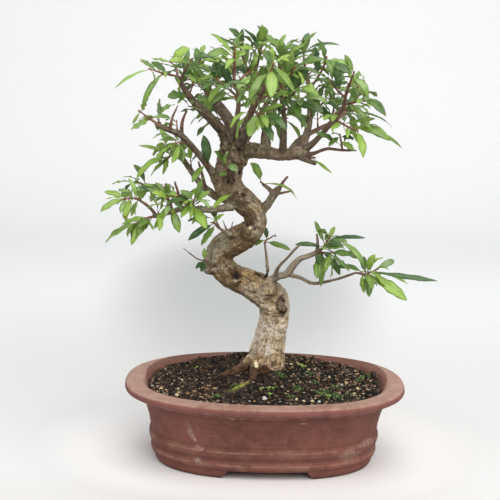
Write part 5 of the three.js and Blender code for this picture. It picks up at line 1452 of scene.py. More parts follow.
# %% Close the sheets into a skin
def leaf_skin(leaf, draw):
    """Points, faces, finishes and values of a leaf. Upper faces have finish 0 and lower faces 1."""
    upper, lower, places = leaf_sheets(leaf, draw)
    shade = draw()
    columns = len(LEAF_COLUMNS)
    top = list(range(len(upper)))
    points, bottom = list(upper), []
    for k, point in enumerate(lower):
        if k % columns in (0, columns - 1):
            bottom.append(top[k])
        else:
            bottom.append(len(points))
            points.append(point)
            places.append(places[k])
    tip = len(points)
    points.append(leaf["tip"])
    places.append((1.0, 0.0))
    faces, finishes = [], []
    for i in range(LEAF_ROWS - 1):
        for j in range(columns - 1):
            a, b = i * columns + j, i * columns + j + 1
            faces.append((top[a], top[a + columns], top[b + columns], top[b]))
            faces.append((bottom[a], bottom[b], bottom[b + columns], bottom[a + columns]))
            finishes += [0, 1]
    last = (LEAF_ROWS - 1) * columns
    for j in range(columns - 1):
        faces.append((top[last + j], tip, top[last + j + 1]))
        faces.append((bottom[last + j], bottom[last + j + 1], tip))
        faces.append(tuple(dict.fromkeys([top[j], top[j + 1], bottom[j + 1], bottom[j]])))
        finishes += [0, 1, 1]
    along, across = [t for t, _ in places], [v for _, v in places]
    return points, faces, finishes, {"along": along, "across": across, "shade": shade}


points, faces, finishes, values = leaf_skin(example, seeded(5))
print("one leaf:", len(points), "points,", len(faces), "faces")

# %% [markdown]
# ## Leaf and twig finishes
#
# A leaf isn't one green. It runs from deep to fresh green with age, it is paler along its veins and at
# its margin, and its underside is duller. Light also comes through it, so part of it is translucent.
# The upper side shines softly, and some leaves carry a painted bluish-grey sheen. New twigs are smooth
# and reddish; a few leaf tips are dry.

# %% The finishes of the leaves
VEINS_ALONG = 62.0
VEINS_SLANT = 17.0
LIGHT_THROUGH = 0.26


def make_leaf_finish(name, under):
    gloss = 0.3 if under else 0.5
    leaf = Finish(name, Specular_IOR_Level=gloss, Coat_Weight=0.3 * gloss, Coat_Roughness=0.25)
    where = leaf.place()
    along, shade, young, dry = (leaf.value(v) for v in ("along", "shade", "young", "dry"))
    side = abs(leaf.value("across"))
    clouds = leaf.noise(where, 6.0, 3)
    speckle = leaf.noise(where, 0.8, 2)
    age = (young + shade * 0.8 + clouds * 0.4 - 0.42).rise(0.0, 1.0)
    pale = age.blend("688a4c", "cbd97f")
    waves = leaf.node("Math", {"operation": "SINE"}, {0: along * VEINS_ALONG - side * VEINS_SLANT})
    veins = waves.rise(0.72, 1.0) * side.rise(0.98, 0.5) * along.rise(0.1, 0.2) * 0.2
    # painted bluish-grey sheen on some leaves
    painted_sheen = abs(shade - 0.5).rise(0.14, 0.0) * clouds.rise(0.3, 0.6)
    leaf.paint(Roughness=(0.55 if under else 0.26) + clouds * 0.16, Base_Color=leaf.coats(
        age.blend(clouds.blend("1a3323", "355a2c"), clouds.blend("6c9833", "a8c256")),
        (veins, pale),
        (side.rise(0.12, 0.02) * 0.35, pale),
        (speckle.rise(0.6, 0.75) * 0.18, "c9d3a0"),
        # painted sheen
        (painted_sheen * 0.4, "8fa58c"),
        (0.4 if under else 0.0, "93ad6f"),
        (side.rise(0.88, 1.0) * 0.3, age.blend("496a30", "b9ad5c")),
        ((along + clouds * 0.2).rise(0.92, 1.08) * dry, "c08436"),
        (along.rise(0.13, 0.07), age.blend("66783a", "a8623f")),
    ))
    leaf.bump(veins * -1.6 + clouds * 0.35 + speckle * 0.2, 0.12)
    leaf.let_through(LIGHT_THROUGH, "9cc42c")
    return leaf


leaf_upper = make_leaf_finish("leaf_upper_side", False)
leaf_lower = make_leaf_finish("leaf_under_side", True)
print("leaf finishes:", leaf_upper.material.name, leaf_lower.material.name)

# %% The finish of young twigs
young_bark = Finish("young_bark", Roughness=0.6, Specular_IOR_Level=0.35)
patches = young_bark.noise(young_bark.place(), 2.6, 4, 0.65)
dots = young_bark.cells(young_bark.place(), 0.9)
young_bark.paint(Roughness=0.5 + patches * 0.25, Base_Color=young_bark.coats(
    patches.rise(0.35, 0.65).blend("52362e", "8c6450"),
    (dots.rise(0.22, 0.12) * 0.6, "c3a383"),
    (young_bark.value("along"), patches.blend("96543a", "8f8148")),
))
young_bark.bump(patches + dots * 0.4, 0.18)
print("twig finish:", young_bark.material.name)

# %% [markdown]
# ## Twigs with their leaves
#
# A spray is one piece: the twig, slightly swollen at each pair of leaves, with a bud at its tip, and
# its leaves. The spurs of the crown are gathered with the spray that grows nearest to them, so that the
# plant stays a set of sprays that can be painted one by one.

# %% Grow a twig, and give each spur to a spray
TWIG_SIDES = 8
TWIG_STEPS = 5
BUD = ((0.5, 1.3), (1.1, 1.2), (1.9, 0.6))  # how far past the twig's end, and how much thicker


def grow_twig(skin, spray, radius):
    """A thin twig that starts inside the wood and ends in a bud."""
    last = len(spray["twig"]) - 1
    rings = [(*p, radius * (1.15 - 0.5 * i / last)) for i, p in enumerate(spray["twig"])]
    path = smooth_path(rings, TWIG_STEPS)
    path[:, 3] *= [1 + 0.16 * math.sin(i * 1.7 + math.tau * spray["young"]) for i in range(len(path))]
    along = unit(path[-1][:3] - path[-2][:3])
    bud = [(*(path[-1][:3] + along * step), path[-1][3] * thicker) for step, thicker in BUD]
    path = np.vstack([path, bud])
    points, faces = tube(path, TWIG_SIDES)
    run = [min(1.0, (i // TWIG_SIDES) / len(path)) for i in range(len(points))]
    skin.add(points, faces, 2, along=[v * v * spray["young"] for v in run])


def middle_of(spray):
    return sum(spray["twig"]) / len(spray["twig"])


for spur in spurs:
    nearest = min(sprays, key=lambda s: float(np.linalg.norm(middle_of(s) - middle_of(spur))))
    nearest.setdefault("spurs", []).append(spur)
print("sprays that took spurs in:", sum("spurs" in spray for spray in sprays))

# %% Make each spray
SPRAY_TWIG = 0.8
SPUR_TWIG = 0.62
DRY_LEAVES = 0.015


def spray_slot(young):
    return "leaf_old" if young < 0.25 else "leaf_fresh" if young < 0.5 else "leaf_young"


leaf_total = 0
for owner, spray in enumerate(sprays):
    draw = seeded(3001 + 53 * owner)
    skin = Skin("along", "across", "shade", "young", "dry")
    for part in [spray, *spray.get("spurs", [])]:
        grow_twig(skin, part, SPRAY_TWIG if part is spray else SPUR_TWIG)
        for leaf in part["leaves"]:
            points, faces, finishes, values = leaf_skin(leaf, draw)
            age = held(part["young"] + 0.6 * (draw() - 0.5) + (0.1 if "fine" in leaf else 0))
            dry = 1.0 if draw() > 1 - DRY_LEAVES else 0.0
            skin.add(points, faces, finishes, young=age, dry=dry, **values)
            leaf_total += 1
    made = skin.piece("foliage_" + spray["name"], [leaf_upper, leaf_lower, young_bark])
    seat(made, spray_slot(spray["young"]), "spray_" + spray["name"])
print("leaves in all:", leaf_total)

# %% [markdown]
# ## The pot
#
# The pot is an oval of fired clay, thrown or pressed without glaze. Its rim is flat and wide, two soft
# bands run round its foot, and a low notch in front and behind lets water drain. A lathe turned on a
# superellipse gives the oval. Cutting each corner of the profile twice, a little from its ends, rounds
# it the way a wet sponge does.

# %% Turn an oval
def oval(radius, angle):
    """A point on the oval whose half length is the radius."""
    half = radius - (POT_LENGTH - POT_WIDTH) / 2 * min(1, radius / 60)
    s, c = math.sin(angle), math.cos(angle)
    power = 2 / POT_OVAL
    return math.copysign(radius * abs(s) ** power, s), -math.copysign(half * abs(c) ** power, c)


def oval_reach(x, y, length, width):
    """0 in the middle of an oval of these half sizes, and 1 on its edge."""
    return (abs(x) / length) ** POT_OVAL + (abs(y) / width) ** POT_OVAL


def oval_lathe(profile, sides, lift=None):
    """A closed skin round the oval. The profile's two ends lie on the axis."""
    lift = lift or (lambda x, y, height: height)
    points = []
    for radius, height in profile[1:-1]:
        for k in range(sides):
            x, y = oval(radius, math.tau * (k + 0.5) / sides)
            points.append((x, y, lift(x, y, height)))
    rows = len(profile) - 2
    low, top = len(points), (rows - 1) * sides
    points += [(0, 0, profile[0][1]), (0, 0, lift(0, 0, profile[-1][1]))]
    faces = side_faces(rows, sides)
    faces += [(low, (k + 1) % sides, k) for k in range(sides)]
    faces += [(top + k, top + (k + 1) % sides, low + 1) for k in range(sides)]
    return points, faces


print("the oval's front:", [round(v, 1) for v in oval(POT_LENGTH / 2, 0)])

# %% The profile of the pot
half = POT_LENGTH / 2
inner = half - RIM_WIDTH
foot = half - 23
POT_PROFILE = [
    (0, FOOT_HEIGHT), (foot - 8, FOOT_HEIGHT), (foot - 7, 0), (foot, 0), (foot + 1.5, 5.0), (foot + 1.9, 6.2),
    (foot + 3.2, 7.6), (foot + 3.9, 9.6), (foot + 3.8, 11.6), (foot + 3.0, 13.3), (foot + 2.9, 14.2),
    (foot + 4.0, 15.6), (foot + 4.9, 17.8), (foot + 5.3, 20.2), (foot + 4.9, 22.0), (foot + 3.9, 23.2),
    (foot + 3.9, 24.6), (foot + 5.3, 33), (foot + 8.4, 43), (half - 10.8, 47.2), (half - 9.8, 48.0),
    (half - 9.2, 49.4), (half - 3.5, 51.2), (half - 0.6, 52.8), (half, 54.6), (half - 0.5, 56.6),
    (half - 2.4, POT_HEIGHT), (half - 7, POT_HEIGHT - 0.3), (inner + 2.2, POT_HEIGHT), (inner - 0.4, 56.4),
    (inner - 7, 46), (inner - 10, 36), (inner - 11, 15), (inner - 14, FLOOR_TOP), (0, FLOOR_TOP),
]


def round_corners(points, share):
    """Cuts each corner of a run of points, keeping its two ends."""
    rounded = [points[0]]
    for a, b in zip(points, points[1:]):
        a, b = np.array(a, float), np.array(b, float)
        rounded += [tuple(a + (b - a) * share), tuple(b + (a - b) * share)]
    return rounded + [points[-1]]


pot_profile = round_corners(round_corners(POT_PROFILE, 0.2), 0.25)
print("pot profile:", len(POT_PROFILE), "points, then", len(pot_profile))

# %% [markdown]
# The notches and the drain holes are cut out of the turned clay. A clay pot is never quite true, so its
# walls then get a slow unevenness of a few tenths of a millimetre, and its surface the fine drag marks of
# a sponge.

# %% Turn and cut the clay
POT_SIDES = 168
NOTCH_CORNER = 1.2


def block_of(outline, low, high):
    """A closed block: an outline in X and Z, pulled along Y."""
    n = len(outline)
    points = [(x, y, z) for y in (low, high) for x, z in outline]
    faces = [tuple(range(n)), tuple(range(2 * n - 1, n - 1, -1))]
    return points, faces + [(k, k + n, (k + 1) % n + n, (k + 1) % n) for k in range(n)]


def cut_from(made, points, faces):
    """Takes a closed shape out of a piece."""
    tool = Skin()
    tool.add(points, faces)
    cutter = tool.piece("cutter", [])
    turn_outward(cutter.data)
    cut = made.modifiers.new("cut", "BOOLEAN")
    cut.object = cutter
    cut.solver = "EXACT"
    apply_modifiers(made)
    bpy.data.objects.remove(cutter)


pot_skin = Skin()
pot_skin.add(*oval_lathe(pot_profile, POT_SIDES))
pot = pot_skin.piece("pot_stoneware", [])
turn_outward(pot.data)
right_half = [(NOTCH_FOOT_WIDTH / 2, -1), (NOTCH_TOP_WIDTH / 2 + NOTCH_CORNER, FOOT_HEIGHT - 1),
              (NOTCH_TOP_WIDTH / 2 - NOTCH_CORNER / 2, FOOT_HEIGHT)]
notch = [(-NOTCH_FOOT_WIDTH / 2, -1), *right_half, *((-x, z) for x, z in right_half[:0:-1])]
cut_from(pot, *block_of([(x + NOTCH_SHIFT, z) for x, z in notch], -POT_WIDTH / 2, POT_WIDTH / 2))
for side in (-1, 1):
    drain = [(side * DRAIN_SPACING / 2, 0, z, DRAIN_DIAMETER / 2) for z in (-5, 30)]
    cut_from(pot, *tube(np.array(drain, float), 32))
print(size_of(pot))

# %% Unsettle the clay
LINING_OUT = 1.5
LINING_BACK = 23.5

clay = read_points(pot.data)
lined = []
for point in clay:
    x, y, z = point / MM
    lined.append(float(oval_reach(x, y, inner + LINING_OUT, inner - LINING_BACK) < 1 and z > 14))
    slow = Vector((x * 0.018, y * 0.018, z * 0.03))
    outward = unit(np.array((x, y, 0.0)))
    drag = 0.12 * noise.noise(Vector((x * 0.05, y * 0.05, z * 0.9)))
    point[:2] += outward[:2] * (0.4 * noise.noise(slow) + drag) * MM
    point[2] += 0.25 * noise.noise(slow + Vector((9, 0, 0))) * MM * held((z - 8) / 20)
pot.data.vertices.foreach_set("co", clay.ravel())
write_values(pot.data, "lined", lined)
pot.data.update()
print("points on the inner wall:", int(sum(lined)))

# %% [markdown]
# ## Unglazed stoneware
#
# Iron in the clay fires to a dull reddish brown. The face of the rim is paler and dusty, and painted
# light makes its two ends paler still. Lime from the water has left chalky smears down the wall, dust
# settles in the grooves between the bands, and the grooves also hold painted shade. The ridges are
# paler, partly worn where hands and shelves have rubbed them and partly a painted highlight along their
# tops. Small light specks are grit in the clay. None of it shines.

# %% Patterns that the clay shares
stoneware = Finish("stoneware", Roughness=0.8, Specular_IOR_Level=0.3)
where = stoneware.place()
clay_x, clay_y, clay_z = stoneware.axes(where)
clouds = stoneware.noise(where, 38, 4, 0.6)
mottle = stoneware.noise(where, 7, 5, 0.65)
grit = stoneware.noise(where, 1.0, 3, 0.6)
drags = stoneware.noise(where * (0.25, 0.25, 1.6), 2.4, 3, 0.6)
print("nodes of the clay's patterns:", len(stoneware.tree.nodes))


# %% Body, rim, bands and inside
# ridges: paler, partly wear and partly a painted highlight along their tops
RIDGES_WORN_AND_LIT = ((19.9, 22.0), (10.0, 12.2), (47.8, 49.4), (52.0, 54.0))
# painted shade in the grooves between the bands
SHADED_GROOVES = ((22.6, 24.8), (15.0, 17.4), (12.6, 14.4), (6.4, 8.6), (45.4, 47.4))


def band(height, low, high):
    """A stripe between two heights, strongest in its middle."""
    middle = (low + high) / 2
    return height.rise(low, middle) * height.rise(high, middle)


rim_tone = stoneware.coats(
    (clouds + mottle * 0.5 - 0.25).rise(0.35, 0.65).blend("876555", "9a7d6e"),
    (grit.rise(0.5, 0.7) * 0.45, "7b5046"),
    (mottle.rise(0.48, 0.34) * 0.4, "764c41"),
    # painted light: the rim is paler toward its two ends
    ((clay_x * clay_x).rise(3600.0, 9000.0) * 0.4, "b3958a"),
    (mottle.rise(0.55, 0.68) * 0.4, "b19483"),
)
on_rim = stoneware.axes(stoneware.facing())[2].rise(0.35, 0.9) * clay_z.rise(46.0, 52.0) * 0.9
lip = clay_z.rise(49.0, 51.5) * (0.4 + mottle.rise(0.35, 0.65) * 0.45)
silt = clay_z.rise(5.0, 8.0) * clay_z.rise(25.0, 22.0) * stoneware.noise(where, 13, 3).rise(0.5, 0.72)
body = stoneware.coats(
    clouds.rise(0.3, 0.7).blend("5b382f", "71443c"),
    (mottle.rise(0.38, 0.7) * 0.45, "84554a"),
    (drags.rise(0.5, 0.75) * 0.25, "8b6557"),
    (clay_z.rise(20.0, 6.0) * mottle.rise(0.3, 0.6) * 0.25, "7c463c"),
    (lip, "764a44"),
    (on_rim, rim_tone),
    (stoneware.value("lined").rise(0.4, 1.0) * 0.9, mottle.blend("4d2c23", "7a5044")),
    # ridges paler, partly wear and partly a painted highlight
    *((band(clay_z + drags * 0.4, *ridge) * mottle.rise(0.36, 0.6) * 0.4, "a37d6c") for ridge in RIDGES_WORN_AND_LIT),
    # painted shade in the grooves
    *((band(clay_z, *groove) * 0.35, "472a24") for groove in SHADED_GROOVES),
    (silt * 0.3, "857058"),
)
print("worn ridges:", len(RIDGES_WORN_AND_LIT), "grooves:", len(SHADED_GROOVES))

# %% Smears, specks and the darker foot
# Chalky smears: place, half width, half height, slant and strength.
SMEARS = ((-52.0, 34, 3.0, 9, -0.35, 0.3), (-48.5, 29, 1.3, 4, -0.3, 0.6), (-45.5, 22, 5.0, 2.4, 0.0, 0.4),
          (-46.5, 12, 4.0, 4, 0.0, 0.35), (25.5, 44.3, 4.5, 1.1, 0.0, 0.5), (-22, 47, 1.6, 1.5, 0.0, 0.5),
          (60, 17, 11, 4, 0.0, 0.28), (73, 22, 9, 3, 0.0, 0.3))

chalk = clay_y.rise(-30.0, -45.0) * stoneware.noise(where * (1.0, 1.0, 0.45), 2.6, 4, 0.7).rise(0.36, 0.6)


def smear(x, z, wide, tall, slant, strength):
    """A ragged patch of chalk on the front wall."""
    up = clay_z - z
    across = (clay_x - (x - CENTRE[0]) - up * slant + mottle * 3.0 - 1.5) / wide
    inside = (across * across + (up / tall) * (up / tall)).rise(1.0, 0.0)
    return inside * chalk * strength, "b8a797"


stoneware.paint(Roughness=0.76 + mottle * 0.18, Base_Color=stoneware.coats(
    body,
    *(smear(*place) for place in SMEARS),
    (stoneware.cells(where, 2.6).rise(0.14, 0.07) * grit.rise(0.5, 0.58) * 0.45, "b99c88"),
    (grit.rise(0.36, 0.26) * 0.4, "40261f"),
    (clay_z.rise(4.0, 0.5) * 0.5, "3f2620"),
))
stoneware.bump(grit * 0.5 + mottle * 0.5 + drags * 0.5, 0.2)
pot.data.materials.clear()
pot.data.materials.append(stoneware.material)
pot.data.polygons.foreach_set("use_smooth", np.full(len(pot.data.polygons), True))
pot.data.set_sharp_from_angle(angle=math.radians(48))
seat(pot, "stoneware", "pot")
print("pot height:", round(1000 * max(v.co.z for v in pot.data.vertices), 1), "mm")

# %% [markdown]
# ## Soil
#
# The pot is filled with dark compost that rises to a low mound round the trunk. Its top is made of
# crumbs, so the body gets a lumpy top and then a litter of separate crumbs, half sunk: compost, chips
# of bark, and pale grit of pumice and fired clay.

# %% The height of the ground
WALL_RISE = 3.4
BACK_RISE = 0.045
HEAP = (9, 10)


def soil_height(x, y):
    """The ground: a mound round the trunk, a heap beside it, lumps, and a rise toward the wall."""
    away = math.hypot(x - TRUNK[0][0], 0.8 * (y - TRUNK[0][1]))
    mound = SOIL_MOUND * math.exp(-((away / 42) ** 2))
    lumps = 0.7 * math.sin(0.21 * x + 0.9) * math.cos(0.24 * y) + 0.5 * math.sin(0.37 * y - 0.31 * x)
    heap = 2.8 * math.exp(-((x - HEAP[0]) ** 2 + (y - HEAP[1]) ** 2) / 60)
    near_wall = held((oval_reach(x, y, inner - 4, inner - 29) - 0.5) / 0.5)
    return SOIL_EDGE + mound + heap + lumps + (WALL_RISE + BACK_RISE * y) * near_wall


def crumbled(x, y, height):
    """The top of the soil is crumbly; the rest stays as turned."""
    if height < SOIL_EDGE:
        return height
    rough = 0.9 * noise.noise(Vector((x * 0.22, y * 0.22, 3)))
    fine = 0.7 * noise.noise(Vector((x * 0.6, y * 0.6, 8)))
    return soil_height(x, y) + (rough + fine) + 0.4 * noise.noise(Vector((x * 1.3, y * 1.3, 1)))


print("the ground rises from", SOIL_EDGE, "to", round(soil_height(*TRUNK[0][:2]), 1), "mm")

# %% The body of the soil
SOIL_SIDES = 230
SOIL_ROWS = 70
SOIL_STEP = 1.17

compost = Finish("compost", Roughness=0.92, Specular_IOR_Level=0.2)
where = compost.place()
crumbs = compost.noise(where, 2.0, 5, 0.7)
patches = compost.noise(where, 16, 3)
compost.paint(Roughness=0.85 + crumbs * 0.12, Base_Color=compost.coats(
    crumbs.rise(0.35, 0.65).blend("1a1714", "3d3129"),
    (patches.rise(0.45, 0.65) * 0.6, "523e31"),
    (compost.noise(where, 1.6, 2).rise(0.62, 0.7), "7c5f44"),
    (patches.rise(0.42, 0.3) * 0.4, "263018"),
    (0.15, compost.darken(compost.cells(where, 1.3, "Color"), "6b5038")),
))
compost.bump(crumbs + compost.noise(where, 0.9, 2) * 0.5, 0.8)

low = FLOOR_TOP + 0.3
soil_profile = [(0, low), (inner - 14.5, low), (inner - 11.6, 15), (inner - 10.6, 36), (inner - 7.6, 46)]
soil_profile += [(inner - 3.4 - k * SOIL_STEP, SOIL_EDGE) for k in range(SOIL_ROWS)]
soil_profile += [(0, SOIL_EDGE)]
soil_skin = Skin()
soil_skin.add(*oval_lathe(soil_profile, SOIL_SIDES, crumbled))
soil = soil_skin.piece("soil_body", [compost])
turn_outward(soil.data)
seat(soil, "soil", "soil")
print(size_of(soil))

# %% [markdown]
# Crumbs are small closed lumps. Each starts as an icosahedron, whose corners are pushed about and which
# is stretched and turned at random. Most are dark. Pale and rusty grit lies thickest on the right and
# in the left corner in front; a few stones and chips of bark are large enough to be placed one by one.

# %% One lump on the ground
BARE_SPOTS = [*ROOTS["root_pale"][3:], (-15, -9, 0, 0), (-22, -16.5, 0, 0)]
BARE_RADIUS = 3.4


def lump_shape(level):
    bm = bmesh.new()
    bmesh.ops.create_icosphere(bm, subdivisions=level, radius=1.0)
    points = np.array([tuple(v.co) for v in bm.verts])
    faces = [tuple(v.index for v in face.verts) for face in bm.faces]
    bm.free()
    return points, faces


CRUMB, STONE = lump_shape(1), lump_shape(2)


def spot_on_soil(pick):
    """A place on the ground, spread evenly over the oval, off the bare root."""
    while True:
        x, y = pick.uniform(-86, 86), pick.uniform(-61, 61)
        bared = min(math.hypot(x - spot[0], y - spot[1]) for spot in BARE_SPOTS)
        if oval_reach(x, y, inner - 4.5, inner - 29.5) < 1 and bared > BARE_RADIUS:
            return x, y


def add_lump(skin, pick, x, y, radius, stretch, shape, tint, sink=0.25):
    """A lump of some shape, stretched along, across and up, of which a share is sunk in the ground."""
    points, faces = shape
    jitter = np.array([[pick.uniform(0.72, 1.2)] for _ in points])
    scaled = points * jitter * np.array(stretch) * radius
    around = Matrix.Rotation(pick.uniform(0, math.tau), 3, "Z")
    turn = around @ Matrix.Rotation(pick.uniform(-0.6, 0.6), 3, "X")
    lift = soil_height(x, y) + radius * stretch[2] * (1 - 2 * sink) + 0.25
    skin.add(scaled @ np.array(turn).T + np.array((x, y, lift)), faces, 0, tint=tint)


print("a crumb has", len(CRUMB[1]), "faces and a stone has", len(STONE[1]))


# %% The finishes of crumbs and grit
def make_crumb(name, stops, rough):
    """The mesh's tint picks each lump's colour from a ramp; fine grain shades it."""
    crumb = Finish(name, Roughness=rough, Specular_IOR_Level=0.25)
    grainy = crumb.noise(crumb.place(), 0.8, 3, 0.65)
    ramp = crumb.node("ValToRGB", {"stops": stops}, {"Fac": crumb.value("tint")}, "Color")
    shaded = crumb.darken(ramp, grainy.blend("aaa59f", "ffffff"))
    crumb.paint(Base_Color=shaded, Roughness=rough - 0.1 + grainy * 0.15)
    crumb.bump(grainy, 0.35)
    return crumb


dark_crumb = make_crumb(
    "compost_crumb", [(0.0, "151513"), (0.4, "2a2622"), (0.72, "564337"), (1.0, "9c856f")], 0.9)
grit_stone = make_crumb("grit", [(0.0, "b98d5f"), (0.3, "e9d6a8"), (0.5, "c8a98b"), (0.72, "b06e50"),
                                 (0.88, "a5a39c"), (1.0, "f6efe2")], 0.85)
print("litter finishes:", dark_crumb.material.name, grit_stone.material.name)

# %% Scatter crumbs, chips and grit
CRUMBS = 7600
CRUMB_SIZES = (0.3, 0.3, 0.35, 0.45, 0.5, 0.6, 0.8, 1.3)
CHIPS = 260
GRIT_TRIES = 1700
GRIT_SIZES = (0.25, 0.3, 0.4, 0.5, 0.75)
# Stones: place, radius and tint.
STONES = ((-0.4, -35, 2.2, 1.0), (-74, -18, 1.8, 0.3), (-62, -32, 1.8, 0.25), (22, -34, 1.4, 0.3),
          (27, -37, 1.3, 0.35), (33, -36, 1.5, 0.3), (38, -36, 1.3, 0.95), (56, 2, 1.9, 0.9),
          (48, 20, 1.9, 0.5), (60, 14, 1.6, 0.25), (67, -6, 1.5, 0.3), (64, -14, 1.4, 0.2),
          (33, 32, 1.5, 0.4), (20, 38, 1.4, 0.3), (74, -8, 1.3, 0.55))
# Large chips of bark: place and radius.
BARK_CHIPS = ((80, 18, 3.2), (76, 24, 2.2), (-30, 30, 2.0), (12, 44, 2.2), (58, -24, 1.8))


def stretches(pick, *ranges):
    return [pick.uniform(low, high) for low, high in ranges]


pick = random.Random(31)
crumbs, grit = Skin("tint"), Skin("tint")
for _ in range(CRUMBS):
    x, y = spot_on_soil(pick)
    radius = pick.choice(CRUMB_SIZES)
    stretch = stretches(pick, (0.8, 1.7), (0.7, 1.1), (0.5, 0.9))
    browner = 0.3 if x < -8 else 0.0
    tint = min(1.0, pick.random() ** 4 + browner * pick.random())
    add_lump(crumbs, pick, x, y, radius, stretch, CRUMB, tint)
for _ in range(CHIPS):
    x, y = spot_on_soil(pick)
    stretch = stretches(pick, (2.2, 5.0), (0.4, 0.9), (0.25, 0.5))
    add_lump(crumbs, pick, x, y, 0.8, stretch, CRUMB, pick.uniform(0.45, 1.0), 0.1)
for _ in range(GRIT_TRIES):
    x, y = spot_on_soil(pick)
    gravelly = max(0.14, 0.75 if x < -36 and y < -14 else 0.0, (x + y * 0.3) / 45)
    if pick.random() > gravelly:
        continue
    radius = pick.choice(GRIT_SIZES)
    stretch = stretches(pick, (0.8, 2.0), (0.6, 1.0), (0.5, 0.9))
    add_lump(grit, pick, x, y, radius, stretch, CRUMB, pick.random(), -0.5)
for x, y, radius, tint in STONES:
    add_lump(grit, pick, x, y, 0.78 * radius, (1.15, 1.0, 0.85), STONE, tint, 0.15)
for x, y, radius in BARK_CHIPS:
    add_lump(crumbs, pick, x, y, radius, (1.5, 0.6, 0.8), STONE, 0.45, 0.3)
for litter, name, finish in ((crumbs, "soil_crumbs", dark_crumb), (grit, "soil_grit", grit_stone)):
    print(size_of(seat(litter.piece(name, [finish], smooth=False), "soil")))

# %% [markdown]
# ## Moss and seedlings
#
# A few tufts of moss and some tiny seedlings have come up in the soil. A tuft is a bunch of thin closed
# blades; a seedling is a short stalk with two or three round leaves. They reuse the leaf's skin, because
# it already is a closed sheet with a stalk.

# %% Plant the seedlings
# Seedlings: place and number of leaves. Tufts: place and spread.
SEEDLINGS = ((-3, -22, 3), (2, -24, 4), (6, -21, 3), (3, -33, 4), (27, 36, 4), (29, 31, 3),
             (44, -31, 3), (-52, 28, 2))
TUFTS = ((46, -20, 9), (41, -16, 7), (52, -24, 6), (76, 20, 9), (71, 16, 6), (12, 6, 5), (-22, -10, 4),
         (24, -14, 5), (60, -20, 5), (34, 24, 6), (50, -2, 5), (18, -30, 5), (36, 2, 5), (-34, -30, 4))
BLADES_PER_SPREAD = 8

greens = Skin("along", "across", "shade", "young", "dry")
draw = seeded(909)
for x, y, leaves in SEEDLINGS:
    ground = soil_height(x, y)
    height = 2.0 + 1.6 * draw()
    stem = np.array([(x, y, ground - 0.5, 0.32), (x + 0.3, y, ground + height * 0.6, 0.28),
                     (x + 0.2, y, ground + height, 0.3)])
    greens.add(*tube(stem, 6), 0, along=0.5, across=0.5, young=0.9)
    for k in range(leaves):
        turn = math.tau * (k / leaves + 0.1 * draw())
        way = np.array((math.cos(turn), math.sin(turn), 0.25 + 0.3 * draw()))
        base = stem[-1][:3]
        leaf = make_leaf(base, UP, base + way * (1.9 + 1.2 * draw()), 1.5 + 0.5 * draw(), 0.12, UP)
        points, faces, finishes, values = leaf_skin(leaf, draw)
        greens.add(points, faces, finishes, young=0.75 + 0.25 * draw(), **values)
print("points of the seedlings:", len(greens.points))

# %% Plant the tufts of moss
for x, y, spread in TUFTS:
    for _ in range(spread * BLADES_PER_SPREAD):
        turn, away = math.tau * draw(), spread * 0.85 * math.sqrt(draw())
        px, py = x + math.cos(turn) * away, y + math.sin(turn) * away * 0.8
        ground = soil_height(px, py)
        height = (1.0 + 1.7 * draw()) * (1.2 - away / spread)
        lean_x, lean_y = (draw() - 0.5) * 1.6, (draw() - 0.5) * 1.6
        blade = np.array([(px, py, ground - 0.4, 0.3),
                          (px + lean_x * 0.4, py + lean_y * 0.4, ground + height * 0.6 + 0.3, 0.26),
                          (px + lean_x, py + lean_y, ground + height + 0.5, 0.1)])
        young = 0.15 + 0.3 * draw()
        greens.add(*tube(blade, 4), 0, along=0.4, across=0.6, young=young, shade=0.5 * draw())
print(size_of(seat(greens.piece("moss_and_seedlings", [leaf_upper, leaf_lower]), "leaf_fresh")))

# %% [markdown]
# ## Net over the drain holes
#
# Two squares of plastic net keep the soil in. They only show through the holes from below, so the plain
# solids are good enough in shape and get a finish: dull dark green plastic with fine moulding marks.

# %% The finish of the nets
net = Finish("net", Roughness=0.5)
marks = net.noise(net.place(), 1.6, 3)
net.paint(Base_Color=marks.blend("26302b", "3b4a41"), Roughness=0.4 + marks * 0.25)
net.bump(marks, 0.06)
for name in ("drain_net_left", "drain_net_right"):
    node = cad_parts[name]
    node.data.materials.clear()
    node.data.materials.append(net.material)
    print(size_of(node))

# %% [markdown]
# ## Floor, light and camera
#
# The plant stands on a pale sweep of paper that runs up behind it without an edge. A wide soft light
# hangs over it from the front, a weaker one fills from each side, and the sky of the set is nearly white,
# so shadows stay faint and leaves glow a little where light comes through them. The paper's colour also
# holds a painted shadow behind the plant and a painted light round the pot.

# %% The paper's finish
paper = Finish("paper", Roughness=0.9, Specular_IOR_Level=0.1)
x, y, _ = paper.axes(paper.place())
clouds = paper.noise(paper.place(), 420, 2)
front = y.rise(-30.0, -150.0)
near = front.blend(clouds.blend("cbcac9", "cfcecd"), "c6c4c2")
floor = y.rise(150.0, 600.0).blend(near, clouds.blend("dcdddd", "dfe0e0"))
# sizes of the painted shadow behind the plant, and the place of the painted light round the pot
across, back, light_pool_y = (x + 20.0) / 180.0, (y - 560.0) / 480.0, y - 14.0
paper.paint(Base_Color=paper.coats(
    floor,
    # painted shadow of the plant on the paper behind it
    ((across * across + back * back).rise(1.0, 0.0) * 0.95, "b0b3b1"),
    # painted light on the paper round the pot, where its shadow falls
    ((x * x + light_pool_y * light_pool_y * 1.8).rise(34000.0, 10000.0),
     x.rise(0.0, 170.0).blend("e3e1df", "d8d6d4")),
    (y.rise(700.0, 1300.0), "e6e6e6"),
))
print("paper:", len(paper.tree.nodes), "nodes")

